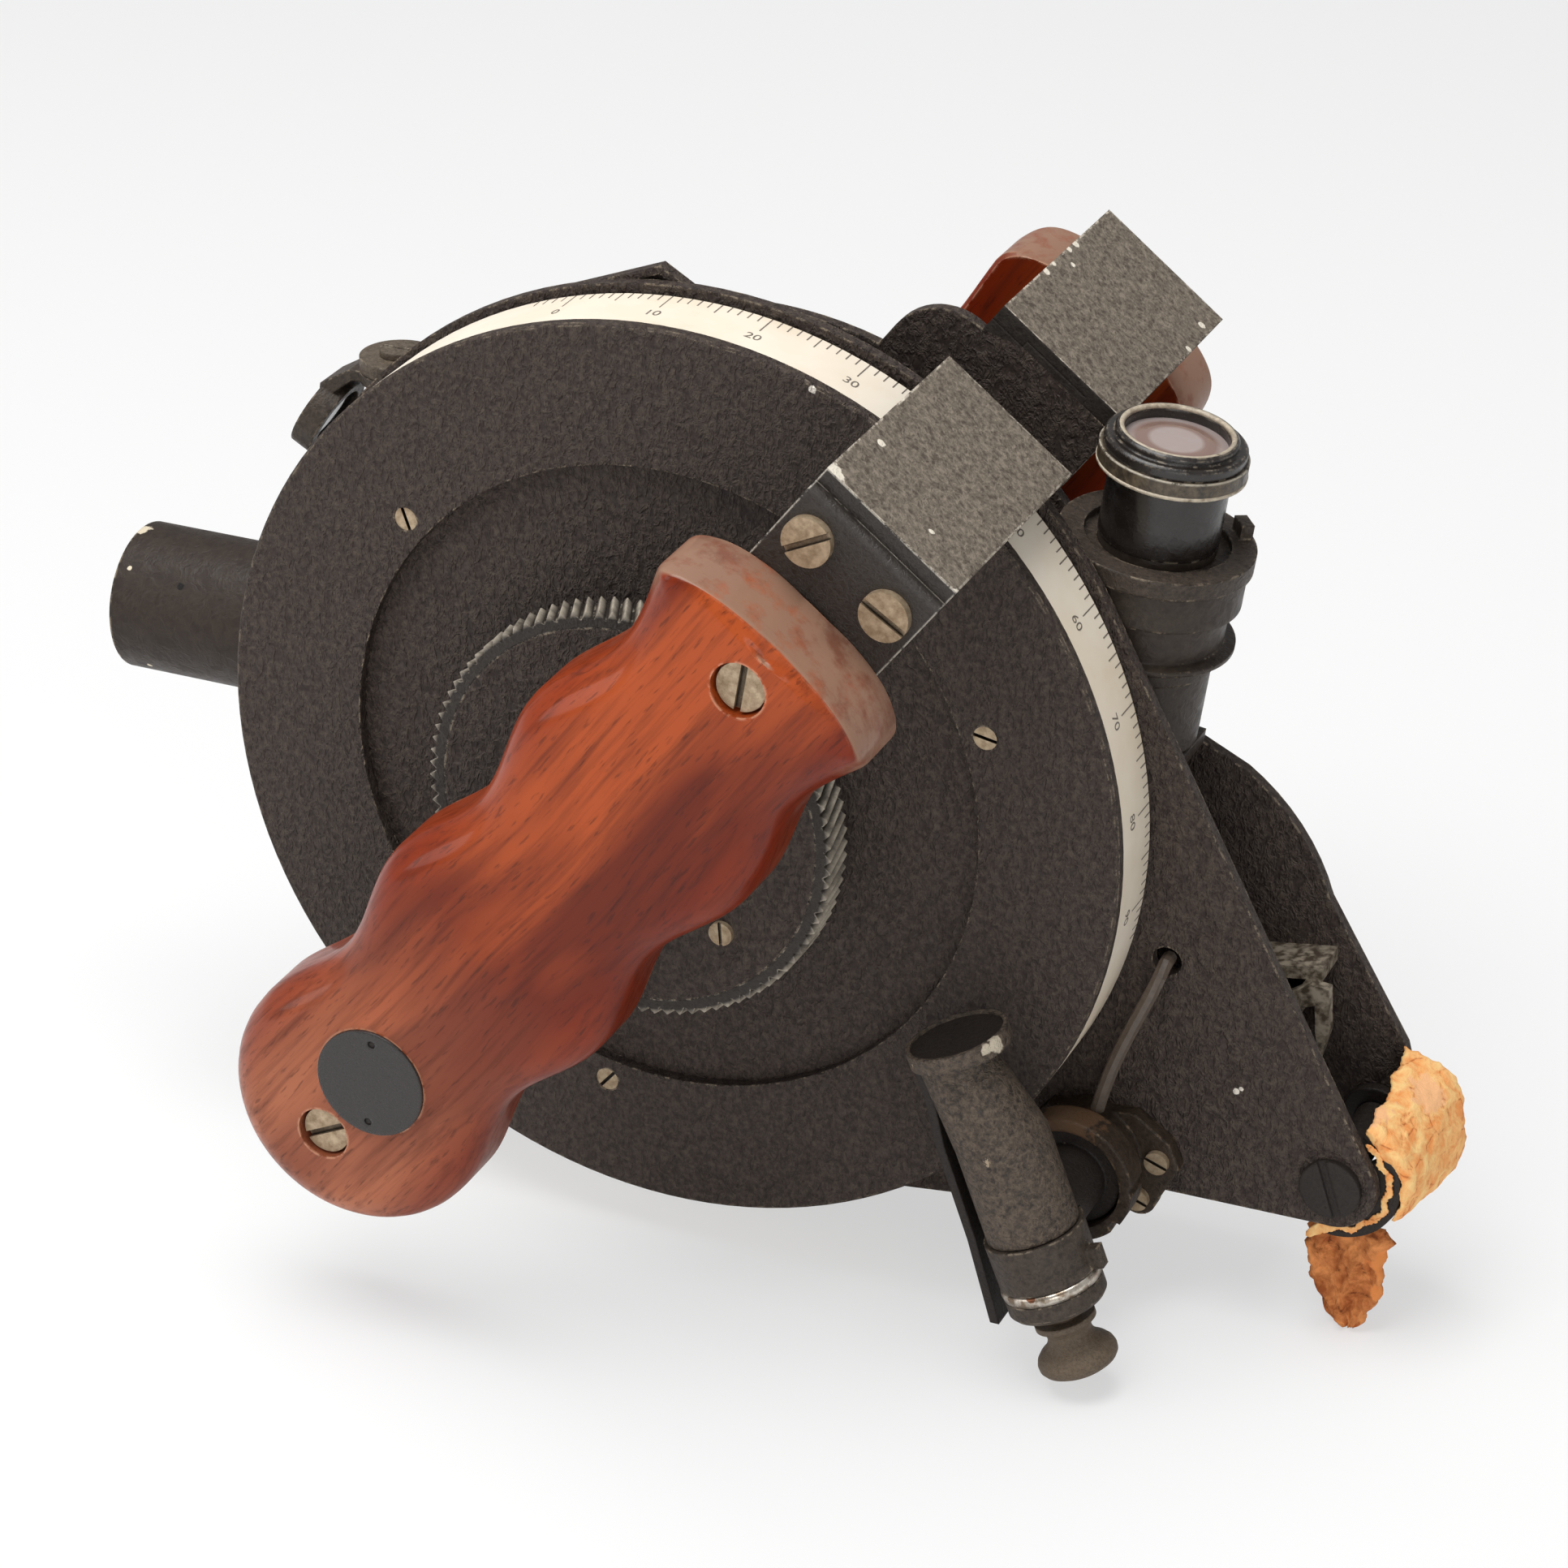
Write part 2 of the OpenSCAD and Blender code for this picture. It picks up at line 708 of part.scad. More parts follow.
module scale_band() color(white_paint)
    turned([[drum_r - band_t, annulus_t], [drum_r, annulus_t], [drum_r, drum_w],
        [drum_r - band_t, drum_w]]);

module centre_disc() color(crackle)
    difference() {
        turned([[spindle_r, annulus_t], [drum_screw_pitch_r + 4.5, annulus_t],
            [drum_screw_pitch_r + 4.5, hub_back], [spindle_r, hub_back]]);
        around(3, drum_screw_first)
            translate([drum_screw_pitch_r, 0, 0])
                rod(0.9, 0, hub_back + 1);
    }

module drum_screws() color(screw_metal)
    around(3, drum_screw_first)
        translate([drum_screw_pitch_r, 0.1, 0])
            slotted_screw(small_head_d, annulus_t - 0.1, 0.9, hub_back - 0.1, 30);

// Thumb wheel with slanted teeth on its rim
wheel_hub_r = 15;
wheel_slant = 4.5;
module thumb_wheel() color(worn_black)
    difference() {
        union() {
            translate([0, wheel_front, 0])
                rotate([-90, 0, 0])
                    linear_extrude(wheel_w, twist = wheel_slant, slices = 3)
                        polygon([for (i = [0:4 * wheel_teeth - 1])
                            let (r = i % 4 < 2 ? wheel_r : wheel_r - wheel_tooth_h,
                                a = 360 * (i + (i % 2 == 0 ? 0.35 : -0.35)) / (4 * wheel_teeth))
                            r * [cos(a), sin(a)]]);
            rod(wheel_hub_r, wheel_front + wheel_w - seam, annulus_t);
        }
        rod(wheel_cap_r, wheel_front - 1, wheel_front + cap_t);
        rod(spindle_r, wheel_front - 1, annulus_t + 1);
        wheel_screw_places()
            rod(0.9, wheel_front, wheel_front + 6);
    }

wheel_cap_r = wheel_r - 2;
wheel_screw_angles = [-46, 106, 210];
module wheel_screw_places() {
    for (a = wheel_screw_angles)
        rotate([0, -a, 0])
            translate([wheel_screw_pitch_r, 0, 0])
                children();
}

module wheel_cap() color(crackle)
    difference() {
        rod(wheel_cap_r, wheel_front, wheel_front + cap_t);
        wheel_screw_places()
            rod(0.9, wheel_front - 1, wheel_front + 5);
    }

module wheel_screws() color(screw_metal)
    wheel_screw_places()
        translate([0, wheel_front - 0.7, 0])
            slotted_screw(small_head_d, 0.7, 0.9, 4.2, 40);

// Index mirror on its own arbor, geared to the spindle
mirror_tilt = 67.5;
mirror_w = 16;
mirror_t = 1.8;
table_t = 1.4;
sector_span = 64;
mirror_y0 = pinion_y + gear_w + 0.9;
module mirror_arbor() color(steel)
    translate([arbor_x, 0, 0]) {
        rod(arbor_r, front_plate_y + 0.2, rear_out - 0.2);
        slab(pinion_y, gear_w)
            intersection() {
                gear_2d(sector_teeth, 180 / sector_teeth);
                union() {
                    sector(0, gear_module * sector_teeth, -sector_span, sector_span);
                    circle(5);
                }
            }
    }

module arbor_bushes() color(brass)
    difference() {
        union() {
            rod(arbor_bush_r, front_plate_y, front_in + 0.4, arbor_x, 0);
            rod(arbor_bush_r, rear_in - 0.4, rear_out, arbor_x, 0);
        }
        rod(arbor_r + fit, front_plate_y - 1, rear_out + 1, arbor_x, 0);
    }

module mirror_plane() {
    translate([arbor_x, 0, 0])
        rotate([0, -mirror_tilt, 0])
            children();
}

// The mirror lies on a plate in front of the arbor, with a boss round the arbor behind it
table_x = 1.2;
mirror_x = table_x + table_t;
boss_r = 3.6;
mirror_y1 = rear_in - 0.8;
mirror_edge = 0.8;
module mirror_table() color(gloss_black)
    difference() {
        union() {
            mirror_plane()
                translate([table_x, mirror_y0, -mirror_w / 2 - mirror_edge])
                    cube([table_t, mirror_y1 - mirror_y0, mirror_w + 2 * mirror_edge]);
            mirror_plane()
                difference() {
                    rod(boss_r, mirror_y0, mirror_y1);
                    translate([mirror_x - seam, 0, -boss_r])
                        cube([boss_r, 2 * rear_in, 2 * boss_r]);
                }
        }
        rod(arbor_r, 0, rear_out, arbor_x, 0);
    }

module index_mirror() color(clear_glass)
    mirror_plane()
        translate([mirror_x, mirror_y0 + mirror_edge, -mirror_w / 2])
            cube([mirror_t, mirror_y1 - mirror_y0 - 2 * mirror_edge, mirror_w]);

// Glass that shows the bubble to the eye, under the bubble unit
module reflector_frame() {
    translate([bubble_x, mid_y, 0])
        rotate([0, -45, 0])
            children();
}

reflector_w = 9;
reflector_half_y = 5.5;
module bubble_reflector() color(clear_glass)
    reflector_frame()
        translate([-0.6, -reflector_half_y, -reflector_w / 2])
            cube([1.2, 2 * reflector_half_y, reflector_w]);

module reflector_holder() color(gloss_black)
    difference() {
        reflector_frame()
            translate([-2, -reflector_half_y - 1, -reflector_w / 2 - 1])
                cube([2.6, rear_in - mid_y + reflector_half_y + 1, reflector_w + 2]);
        reflector_frame()
            translate([-3, 1 - reflector_half_y, -reflector_w / 2 + 1])
                cube([6, 2 * reflector_half_y - 2, reflector_w - 2]);
        reflector_frame()
            translate([-0.6, -reflector_half_y, -reflector_w / 2])
                cube([6, 2 * reflector_half_y, reflector_w]);
    }

// Bubble unit, from its neck up to the lens
neck_r = 9.4;
neck_z = 7.4;
saddle_t = 2;
light_r = 6;
foot_ring_r = neck_r + 0.3;
foot_ring_z = 17.8;
chamber_lip_z = 20.4;
chamber_lip_t = 0.6;
waist_r = 10.2;
band_z = 26.3;
cavity_r = 8.4;
cavity_z = 22;
ring_z = 31.1;
ring_t = 2.3;
ring_seat_r = barrel_r - 0.2;
play = 0.2;
barrel_z0 = ring_z + ring_t + play;
bore_r = 5.8;
brass_r = 9.1;
brass_z = 42.8;
cell_z = 45.1;
cell_r = 8.7;
rim_r = 7.5;
lens_r = 6.4;
eye_seat_z = cell_z + 0.4;
module bubble_saddle() color(gloss_black)
    difference() {
        bubble_frame()
            translate([-11, front_in - bubble_y, neck_z - saddle_t])
                cube([neck_r + 11, plate_gap, saddle_t]);
        bubble_frame()
            cylinder(r = light_r, h = 40);
    }

module bubble_body() color(gloss_black)
    bubble_frame()
        rotate_extrude($fn = 96)
            polygon([[light_r, neck_z], [neck_r, neck_z], [neck_r, foot_ring_z], [foot_ring_r, foot_ring_z],
                [foot_ring_r, chamber_lip_z], [chamber_r + play, chamber_lip_z],
                [chamber_r + play, chamber_lip_z + chamber_lip_t],
                [waist_r, chamber_lip_z + 1.5 * chamber_lip_t], [waist_r, band_z], [chamber_r, band_z],
                [chamber_r, ring_z - play], [ring_seat_r, ring_z - play], [ring_seat_r, barrel_z0],
                [bore_r, barrel_z0], [bore_r, ring_z - 1.8], [cavity_r, ring_z - 1.8],
                [cavity_r, cavity_z], [light_r, cavity_z]]);

module bubble_vial() color(clear_glass)
    bubble_frame()
        translate([0, 0, cavity_z])
            cylinder(r = cavity_r, h = 5);

module bubble_ring() color(worn_black)
    bubble_frame() {
        difference() {
            translate([0, 0, ring_z])
                cylinder(r = ring_r, h = ring_t, $fn = 96);
            translate([0, 0, ring_z - 1])
                cylinder(r = ring_seat_r + fit, h = ring_t + 2, $fn = 96);
            translate([0, 0, ring_z + ring_t - 1])
                cylinder(r = 9, h = 2, $fn = 96);
        }
        rotate(40)
            translate([ring_r - 2, -1.4, ring_z + ring_t - seam])
                cube([1.6, 2.8, 1.9]);
    }

module bubble_barrel() color(gloss_black)
    bubble_frame()
        difference() {
            translate([0, 0, barrel_z0])
                cylinder(r = barrel_r, h = cell_z - barrel_z0, $fn = 96);
            translate([0, 0, barrel_z0 - 1])
                cylinder(r = bore_r, h = 20);
        }

module brass_ring() color(brass)
    bubble_frame()
        difference() {
            translate([0, 0, brass_z])
                cylinder(r = brass_r, h = cell_z - brass_z, $fn = 96);
            translate([0, 0, brass_z - 1])
                cylinder(r = barrel_r, h = 5, $fn = 96);
        }

module lens_cell() color(gloss_black)
    bubble_frame()
        rotate_extrude($fn = 96)
            polygon([[bore_r, cell_z], [cell_r, cell_z], [cell_r, cell_z + 1.2], [cell_r - 0.3, cell_z + 1.5],
                [rim_r, cell_z + 1.5], [rim_r, lens_top - 0.3], [rim_r - 0.3, lens_top],
                [lens_r + 0.3, lens_top], [lens_r, lens_top - 0.5], [lens_r, eye_seat_z],
                [bore_r, eye_seat_z]]);

module bubble_lens() color(clear_glass)
    bubble_frame()
        rotate_extrude($fn = 96)
            polygon([[0, eye_seat_z], [lens_r, eye_seat_z], [lens_r, eye_seat_z + 0.5],
                [4, eye_seat_z + 0.8], [0, eye_seat_z + 0.9]]);

// Shade over the second window: a lug on the wall, and a framed dark glass that swings to
// the rear about an upright screw
shade_x = -46.5;
shade_lug_r = 5;
shade_lug_t = 1.8;
shade_lug_z = 39.2;
shade_gap = 0.1;
shade_arm_t = 1.4;
shade_arm_z = shade_lug_z - shade_gap - shade_arm_t;
shade_arm_half_w = 3;
shade_screw_r = 1.6;
shade_c = [-57.2, 31.4];
shade_normal = 60;
shade_frame_r = 5.6;
shade_frame_t = 3;
shade_glass_r = 4.3;
shade_glass_t = 1.6;
module shade_hinge() {
    translate([shade_x, mid_y, 0])
        children();
}

module shade_ring() {
    translate([shade_c.x, mid_y, shade_c.y])
        rotate([0, -shade_normal, 0])
            children();
}

module shade_post() color(worn_black)
    difference() {
        union() {
            shade_hinge()
                translate([0, 0, shade_lug_z]) {
                    cylinder(r = shade_lug_r, h = shade_lug_t);
                    translate([0, -shade_lug_r, 0])
                        cube([20, 2 * shade_lug_r, shade_lug_t]);
                }
            slab(mid_y - shade_lug_r, 2 * shade_lug_r)
                polygon([[-26, shade_lug_z + shade_lug_t], [-38, shade_lug_z + shade_lug_t],
                    [-38.2, 34.6], [-36.6, 34], [-30, 34]]);
        }
        rod(wall_r, 0, 2 * rear_out);
        shade_hinge()
            cylinder(r = shade_screw_r, h = 2 * shade_lug_z);
    }

module shade_frame() color(worn_black)
    difference() {
        union() {
            shade_hinge()
                translate([0, 0, shade_arm_z])
                    cylinder(r = shade_lug_r, h = shade_arm_t);
            slab(mid_y - shade_arm_half_w, 2 * shade_arm_half_w)
                polygon([[-47, shade_arm_z + shade_arm_t], [-52.1, shade_arm_z + shade_arm_t], [-56.4, 36.6],
                    [-56.5, 35.9], [-55.2, 35], [-51.8, shade_arm_z], [-47, shade_arm_z]]);
            shade_ring()
                cylinder(r = shade_frame_r, h = shade_frame_t, center = true);
        }
        shade_hinge()
            cylinder(r = shade_screw_r + fit, h = 2 * shade_lug_z);
        shade_ring()
            cylinder(r = shade_glass_r, h = shade_frame_t + 2, center = true);
    }

module shade_glass() color([0.25, 0.35, 0.30])
    shade_ring()
        cylinder(r = shade_glass_r, h = shade_glass_t, center = true);

shade_head_z = shade_lug_z + shade_lug_t;
module shade_screw() color(screw_metal)
    shade_hinge() {
        translate([0, 0, shade_arm_z - 0.9])
            cylinder(r = shade_screw_r, h = shade_head_z - shade_arm_z + 0.9 + seam);
        translate([0, 0, shade_arm_z - 0.9])
            cylinder(r = 2.6, h = 0.8);
        translate([0, 0, shade_head_z])
            difference() {
                cylinder(r = 2.4, h = 0.9);
                translate([-3, -0.25, 0.5])
                    cube([6, 0.5, 1]);
            }
    }

// Lamp swivel on the front plate
cup_front = 1.4;
cup_floor = 6;
cup_neck_r = 6.6;
cup_flange_y = front_plate_y - 2;
lamp_screw_r = 0.9;
lamp_screw_places = [for (offset = [[9, 0.5], [6.6, -5.4], [-7.7, -3.1]]) lamp_place + offset];
lamp_ear_r = 2.4;
module lamp_base() color(brass)
    difference() {
        union() {
            translate([lamp_x, 0, -lamp_drop])
                turned([[0, cup_front], [cup_r, cup_front], [cup_r, cup_floor - 0.8],
                    [cup_neck_r, cup_floor + 1.2], [cup_neck_r, front_plate_y], [0, front_plate_y]]);
            translate([lamp_x, 0, -lamp_drop])
                rod(cup_spigot_r + cup_wall, front_plate_y - seam, front_in);
            for (p = lamp_screw_places)
                rod(lamp_ear_r, cup_flange_y, front_plate_y, p.x, p.y);
            translate([lamp_x, 0, -lamp_drop])
                slab(cup_flange_y, front_plate_y - cup_flange_y)
                    polygon([[-5.6, 5.4], [-7.8, 2.8], [-10, -1.6], [-6.6, -5.7], [2.8, -7.2], [7.7, -7.6],
                        [9.4, -4.9], [11.8, -0.2], [10.4, 3.2], [5.8, 6.4]]);
        }
        rod(cup_r - cup_wall, cup_front - 1, cup_floor, lamp_x, -lamp_drop);
        rod(cup_spigot_r + fit, 0, front_in + 1, lamp_x, -lamp_drop);
        for (p = lamp_screw_places)
            rod(lamp_screw_r, 0, front_in + 1, p.x, p.y);
    }

module lamp_base_screws() color(screw_metal)
    for (p = lamp_screw_places)
        translate([p.x, cup_flange_y - 0.8, p.y])
            slotted_screw(small_head_d, 0.8, lamp_screw_r, front_in - cup_flange_y + 0.8, 20);

module lamp_hub() color(gloss_black)
    difference() {
        translate([lamp_x, 0, -lamp_drop])
            turned([[0, -lamp_ahead + 2], [4.6, -lamp_ahead + 2], [4.6, cup_front + 1.2],
                [cup_r - 2, cup_front + 1.2], [cup_r - 2, cup_floor - 0.1], [cup_spigot_r, cup_floor - 0.1],
                [cup_spigot_r, front_in - 0.2], [0, front_in - 0.2]]);
        lamp_frame() {
            cylinder(r = lamp_r, h = 15);
            translate([0, 0, -15])
                cylinder(r = tail_r, h = 15 + seam);
        }
    }

shoulder_z = 12.5;
cap_lip = 0.3;
window_z = lamp_top - 0.9;
neck_top_z = window_z - 0.9;
neck_base_z = neck_top_z - 1.6;
lip_z = -0.2;
tail_r = 6.4;
lamp_neck_r = 4.8;
lamp_neck_q = -2.2;
lamp_cap_r = 6.5;
lamp_cap_q = -1.3;
lamp_window_r = 5.9;
clip_w = 3.8;
clip_seat_q = -6.3;
clip_seat_z = 17;
module lamp_body() color(crackle)
    lamp_frame()
        difference() {
            union() {
                cylinder(r = lamp_r, h = shoulder_z);
                hull() {
                    translate([0, 0, shoulder_z - seam])
                        cylinder(r = lamp_r, h = seam, $fn = 32);
                    translate([lamp_neck_q, 0, neck_base_z])
                        cylinder(r = lamp_neck_r, h = seam, $fn = 32);
                }
                translate([lamp_neck_q, 0, neck_base_z])
                    cylinder(r = lamp_neck_r, h = neck_top_z - neck_base_z + seam);
                translate([lamp_cap_q, 0, neck_top_z])
                    cylinder(r = lamp_cap_r, h = lamp_top + cap_lip - neck_top_z);
            }
            translate([lamp_cap_q, 0, window_z])
                cylinder(r = lamp_window_r, h = 3);
            translate([0, 0, -1])
                cylinder(r = 4.4, h = 1 + shoulder_z);
            translate([clip_seat_q - 3, -clip_w / 2, clip_seat_z])
                cube([3, clip_w, neck_top_z - clip_seat_z]);
        }

module lamp_window() color(gloss_black)
    lamp_frame()
        translate([lamp_cap_q, 0, window_z])
            cylinder(r = lamp_window_r, h = lamp_top - window_z);

tail_end = -10.5;
module lamp_tail() color(worn_black)
    lamp_frame() {
        rotate_extrude($fn = 64)
            polygon([[2.2, tail_end], [5.9, tail_end], [6.3, tail_end + 0.5], [6.3, -8], [5.5, -7.8],
                [5.5, -6.6], [6.3, -6.4], [tail_r, lip_z], [4.4, lip_z], [4.4, tail_end + 1.4],
                [2.2, tail_end + 1.4]]);
        translate([tail_r - 0.4, -0.8, -6.2])
            cube([1.9, 1.6, 2.8]);
    }

// Long spring clip down the lamp's left side, seated on a flat of the neck
clip_t = 1.1;
module lamp_clip() color(gloss_black)
    lamp_frame()
        translate([0, clip_w / 2, 0])
            rotate([90, 0, 0])
                linear_extrude(clip_w)
                    polygon([[clip_seat_q, neck_top_z - 0.2], [clip_seat_q, 18], [-7, 13], [-7.2, 0],
                        [-8.1, -12], [-8.1 - clip_t, -11.6], [-7.2 - clip_t, 0], [-7 - clip_t, 13.4],
                        [clip_seat_q - clip_t, 18.6], [clip_seat_q - clip_t, neck_top_z - 0.2]]);

module lamp_bulb() color(clear_glass)
    lamp_frame()
        rotate_extrude($fn = 48)
            polygon([[0, -1], [3.6, -1], [3.6, 4], [2.8, 4.4], [2.8, 8], [1.8, 9.6], [0, 10.2]]);

// Push knob that works the lamp's contact
knob_end = -19.7;
knob_top = tail_end - knob_travel - 0.2;
knob_stem_r = 2.15;
module push_knob() color(worn_black)
    lamp_frame()
        rotate_extrude($fn = 64)
            polygon([[0, tail_end + 2.6], [3.2, tail_end + 2.6], [3.2, tail_end + 1.6],
                [knob_stem_r, tail_end + 1.6], [knob_stem_r, knob_top], [3.9, knob_top], [3.9, knob_top - 0.8],
                [3.2, knob_top - 1.2], [2.9, knob_top - 1.8], [2.85, knob_top - 2.4], [3.05, knob_top - 3],
                [3.6, knob_top - 3.7], [4.4, knob_top - 4.3], [4.9, knob_top - 4.9], [5.1, knob_top - 5.5],
                [5.05, knob_top - 6.1], [4.7, knob_end + 0.6], [4, knob_end + 0.2], [3, knob_end],
                [0, knob_end]]);

// Contact spring on the knob's flange, with the knob's travel left free above it
spring_z = tail_end + 2.7;
spring_h = 4.6;
module knob_spring() color(steel)
    lamp_frame()
        translate([0, 0, spring_z])
            difference() {
                cylinder(r = 3, h = spring_h);
                translate([0, 0, -1])
                    cylinder(r = 2.2, h = spring_h + 2);
            }

// Lead from the body to the lamp's swivel, held at both ends
lead_r = 0.9;
lead_route = [[8.4, 12.6, 27.9], [8.4, 11, 27.8], [8.2, 9.4, 26.6], [7.4, 8.6, 24.4],
    [6, 8, 21], [4.6, 7.4, 17.4], [3.4, 7, 14], [2.4, 6.9, 10.6], [1.7, 6.9, 7.7]];
function unit(v) = v / norm(v);
function along(route, i) = unit(route[min(i + 1, len(route) - 1)] - route[max(i - 1, 0)]);
module swept_tube(route, r, sides) {
    n = len(route);
    points = [for (i = [0:n - 1]) let (d = along(route, i), side = unit(cross(d, [1, 0, 0.2])),
            up = cross(side, d)) for (k = [0:sides - 1])
        route[i] + r * (cos(360 * k / sides) * side + sin(360 * k / sides) * up)];
    walls = [for (i = [0:n - 2]) for (k = [0:sides - 1]) for (half = [0, 1]) let (
            a = i * sides + k, b = i * sides + (k + 1) % sides)
        half == 0 ? [a, b + sides, b] : [a, a + sides, b + sides]];
    ends = [[for (k = [0:sides - 1]) k], [for (k = [sides - 1:-1:0]) (n - 1) * sides + k]];
    polyhedron(points, concat(walls, ends));
}

module lamp_lead() color(gloss_black)
    translate([lamp_x, 0, -lamp_drop])
        swept_tube(lead_route, lead_r, 8);

// Forehead pad on the corner pin: a shell that widens to the rear, with a lug at each end
pad_y0 = front_in + 0.3;
pad_y1 = rear_in - 0.3;
pad_out_r = pad_r + pad_plate_t;
pad_lug_t = 1.5;
pad_lug_span = [-70, 36];
pad_eye_r = 4.4;
pad_start = 66;
pad_stop = -100;
module at_pin() {
    translate([pin_x, 0, pin_z])
        children();
}

module pad_shell(r, t, a0, a1) {
    intersection() {
        turned([[r, pad_y0], [r + t, pad_y0], [r + t + pad_flare, pad_y1], [r + pad_flare, pad_y1]]);
        slab(pad_y0 - 1, pad_y1 - pad_y0 + 2)
            sector(0, 2 * r, a0, a1);
    }
}

module pad_plate() color(gloss_black)
    difference() {
        at_pin() {
            pad_shell(pad_r, pad_plate_t, pad_stop, pad_start);
            for (lug = [[pad_y0, pad_r], [pad_y1 - pad_lug_t, pad_r + pad_flare]])
                slab(lug[0], pad_lug_t) {
                    sector(0, lug[1] + pad_plate_t / 2, pad_lug_span[0], pad_lug_span[1]);
                    circle(pad_eye_r);
                }
        }
        rod(pin_r + fit, 0, rear_out, pin_x, pin_z);
    }

// The leather: what is left of the cover outside the plate, and a torn scrap that hangs below it
flap_stop = -28;
scrap_bottom = -22.6;
scrap_y = pad_y0 + 1;
scrap_t = 3;
module pad_leather() color(tan_leather)
    at_pin() {
        pad_shell(pad_out_r, leather_t, flap_stop, pad_start);
        difference() {
            slab(scrap_y, scrap_t)
                polygon([[-3.4, -7.4], [-4, -11], [-3, -17.4], [-0.7, -21.4], [2.5, scrap_bottom], [5.4, -18.4],
                    [6.5, -15], [5.8, -12.8], [7.2, -8.8], [6, -6]]);
            turned([[0, pad_y0], [pad_out_r, pad_y0], [pad_out_r + pad_flare, pad_y1], [0, pad_y1]]);
        }
    }

module corner_pin() color(crackle) {
    translate([pin_x, front_plate_y - 1, pin_z])
        slotted_screw(7.8, 1, pin_r, rear_out - front_plate_y + 1, 72);
    rod(3.9, rear_out, rear_out + 1.4, pin_x, pin_z);
}

// Bare metal bracket between the plates, with a pointed finger
module eye_bracket() color(steel)
    translate([pin_x, 0, pin_z]) {
        slab(rear_in - 6, 6)
            difference() {
                polygon([[-16.1, 21.1], [-6.6, 22.6], [-6.6, 20.7], [-11.7, 10.1], [-14.5, 10.1]]);
                polygon([[-13.9, 19.7], [-8.7, 20.5], [-12.1, 14.5]]);
            }
        slab(rear_in - 7.5, 1.6)
            polygon([[-12.1, 17.6], [-7.6, 20.7], [-5.3, 20.5], [-4.9, 14.5], [-5.9, 10.3], [-6.7, 14.1],
                [-6.9, 17.9], [-9.9, 16.7]]);
    }

front_plate();
rear_plate();
inner_wall();
sight_tube();
tube_collar();
objective_lens();
lens_ring();
index_hood();
front_bracket();
rear_bracket();
front_strap();
rear_strap();
front_grip();
rear_grip();
strap_screws();
grip_screws();
badge();
badge_pins();
spindle_bush();
arbor_bushes();
reflector_holder();
bubble_reflector();
bubble_saddle();
bubble_body();
bubble_vial();
bubble_barrel();
brass_ring();
lens_cell();
bubble_lens();
bubble_ring();
drum_disc();
centre_disc();
scale_band();
drum_screws();
thumb_wheel();
wheel_cap();
wheel_screws();
spindle();
mirror_arbor();
mirror_table();
index_mirror();
shade_post();
shade_frame();
shade_glass();
shade_screw();
lamp_base();
lamp_base_screws();
lamp_hub();
lamp_body();
lamp_window();
lamp_tail();
lamp_clip();
lamp_bulb();
push_knob();
knob_spring();
lamp_lead();
pad_plate();
pad_leather();
corner_pin();
eye_bracket();
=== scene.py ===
import bmesh
import bpy
import numpy as np
from mathutils import Matrix, Vector


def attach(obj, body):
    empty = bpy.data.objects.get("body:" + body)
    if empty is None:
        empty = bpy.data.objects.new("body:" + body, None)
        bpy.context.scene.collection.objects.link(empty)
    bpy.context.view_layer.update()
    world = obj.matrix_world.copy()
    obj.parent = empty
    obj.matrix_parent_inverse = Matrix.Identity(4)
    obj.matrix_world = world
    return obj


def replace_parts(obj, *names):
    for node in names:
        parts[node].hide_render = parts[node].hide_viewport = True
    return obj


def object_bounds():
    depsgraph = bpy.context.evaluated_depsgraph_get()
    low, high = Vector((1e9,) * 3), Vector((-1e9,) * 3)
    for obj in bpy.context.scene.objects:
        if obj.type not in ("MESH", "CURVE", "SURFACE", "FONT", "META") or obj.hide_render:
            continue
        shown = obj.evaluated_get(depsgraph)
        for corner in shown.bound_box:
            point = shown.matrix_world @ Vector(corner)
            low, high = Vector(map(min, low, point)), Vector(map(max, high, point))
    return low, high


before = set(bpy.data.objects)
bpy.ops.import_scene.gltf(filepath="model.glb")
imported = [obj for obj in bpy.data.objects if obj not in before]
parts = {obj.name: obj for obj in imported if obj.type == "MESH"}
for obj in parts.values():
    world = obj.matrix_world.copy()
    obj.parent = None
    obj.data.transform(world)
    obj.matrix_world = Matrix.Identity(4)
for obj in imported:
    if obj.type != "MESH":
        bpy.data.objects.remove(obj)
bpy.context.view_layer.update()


# Body: two sheet plates stand about 17 mm apart on a strip wall, with a small roof over the index.
# All are sheet brass in baked black crackle paint, rubbed through to pale metal along the edges.
# A bent strip of bare metal is fixed between the plates beside the eye opening.

def shade(tree, kind, sockets=(), **settings):
    """Adds one shader node; sockets gives inputs by name or number, as values or as other nodes' outputs."""
    n = tree.nodes.new("ShaderNode" + kind)
    for key, value in settings.items():
        setattr(n, key, value)
    for key, value in dict(sockets).items():
        if isinstance(value, bpy.types.NodeSocket):
            tree.links.new(value, n.inputs[key])
        else:
            n.inputs[key].default_value = value
    return n


def new_finish(name, **surface):
    """An empty finish: its node tree, its Principled shader and the object's own coordinates in metres."""
    m = bpy.data.materials.new(name)
    m.use_nodes = True
    t = m.node_tree
    surf = t.nodes["Principled BSDF"]
    for key, value in surface.items():
        surf.inputs[key.replace("_", " ")].default_value = value
    return m, t, surf, shade(t, "TexCoord").outputs["Object"]


def colour(r, g, b):
    """Linear colour of three 0 to 255 values as they look on a screen."""
    c = np.array([r, g, b]) / 255
    return (*np.where(c <= 0.04045, c / 12.92, ((c + 0.055) / 1.055) ** 2.4), 1.0)


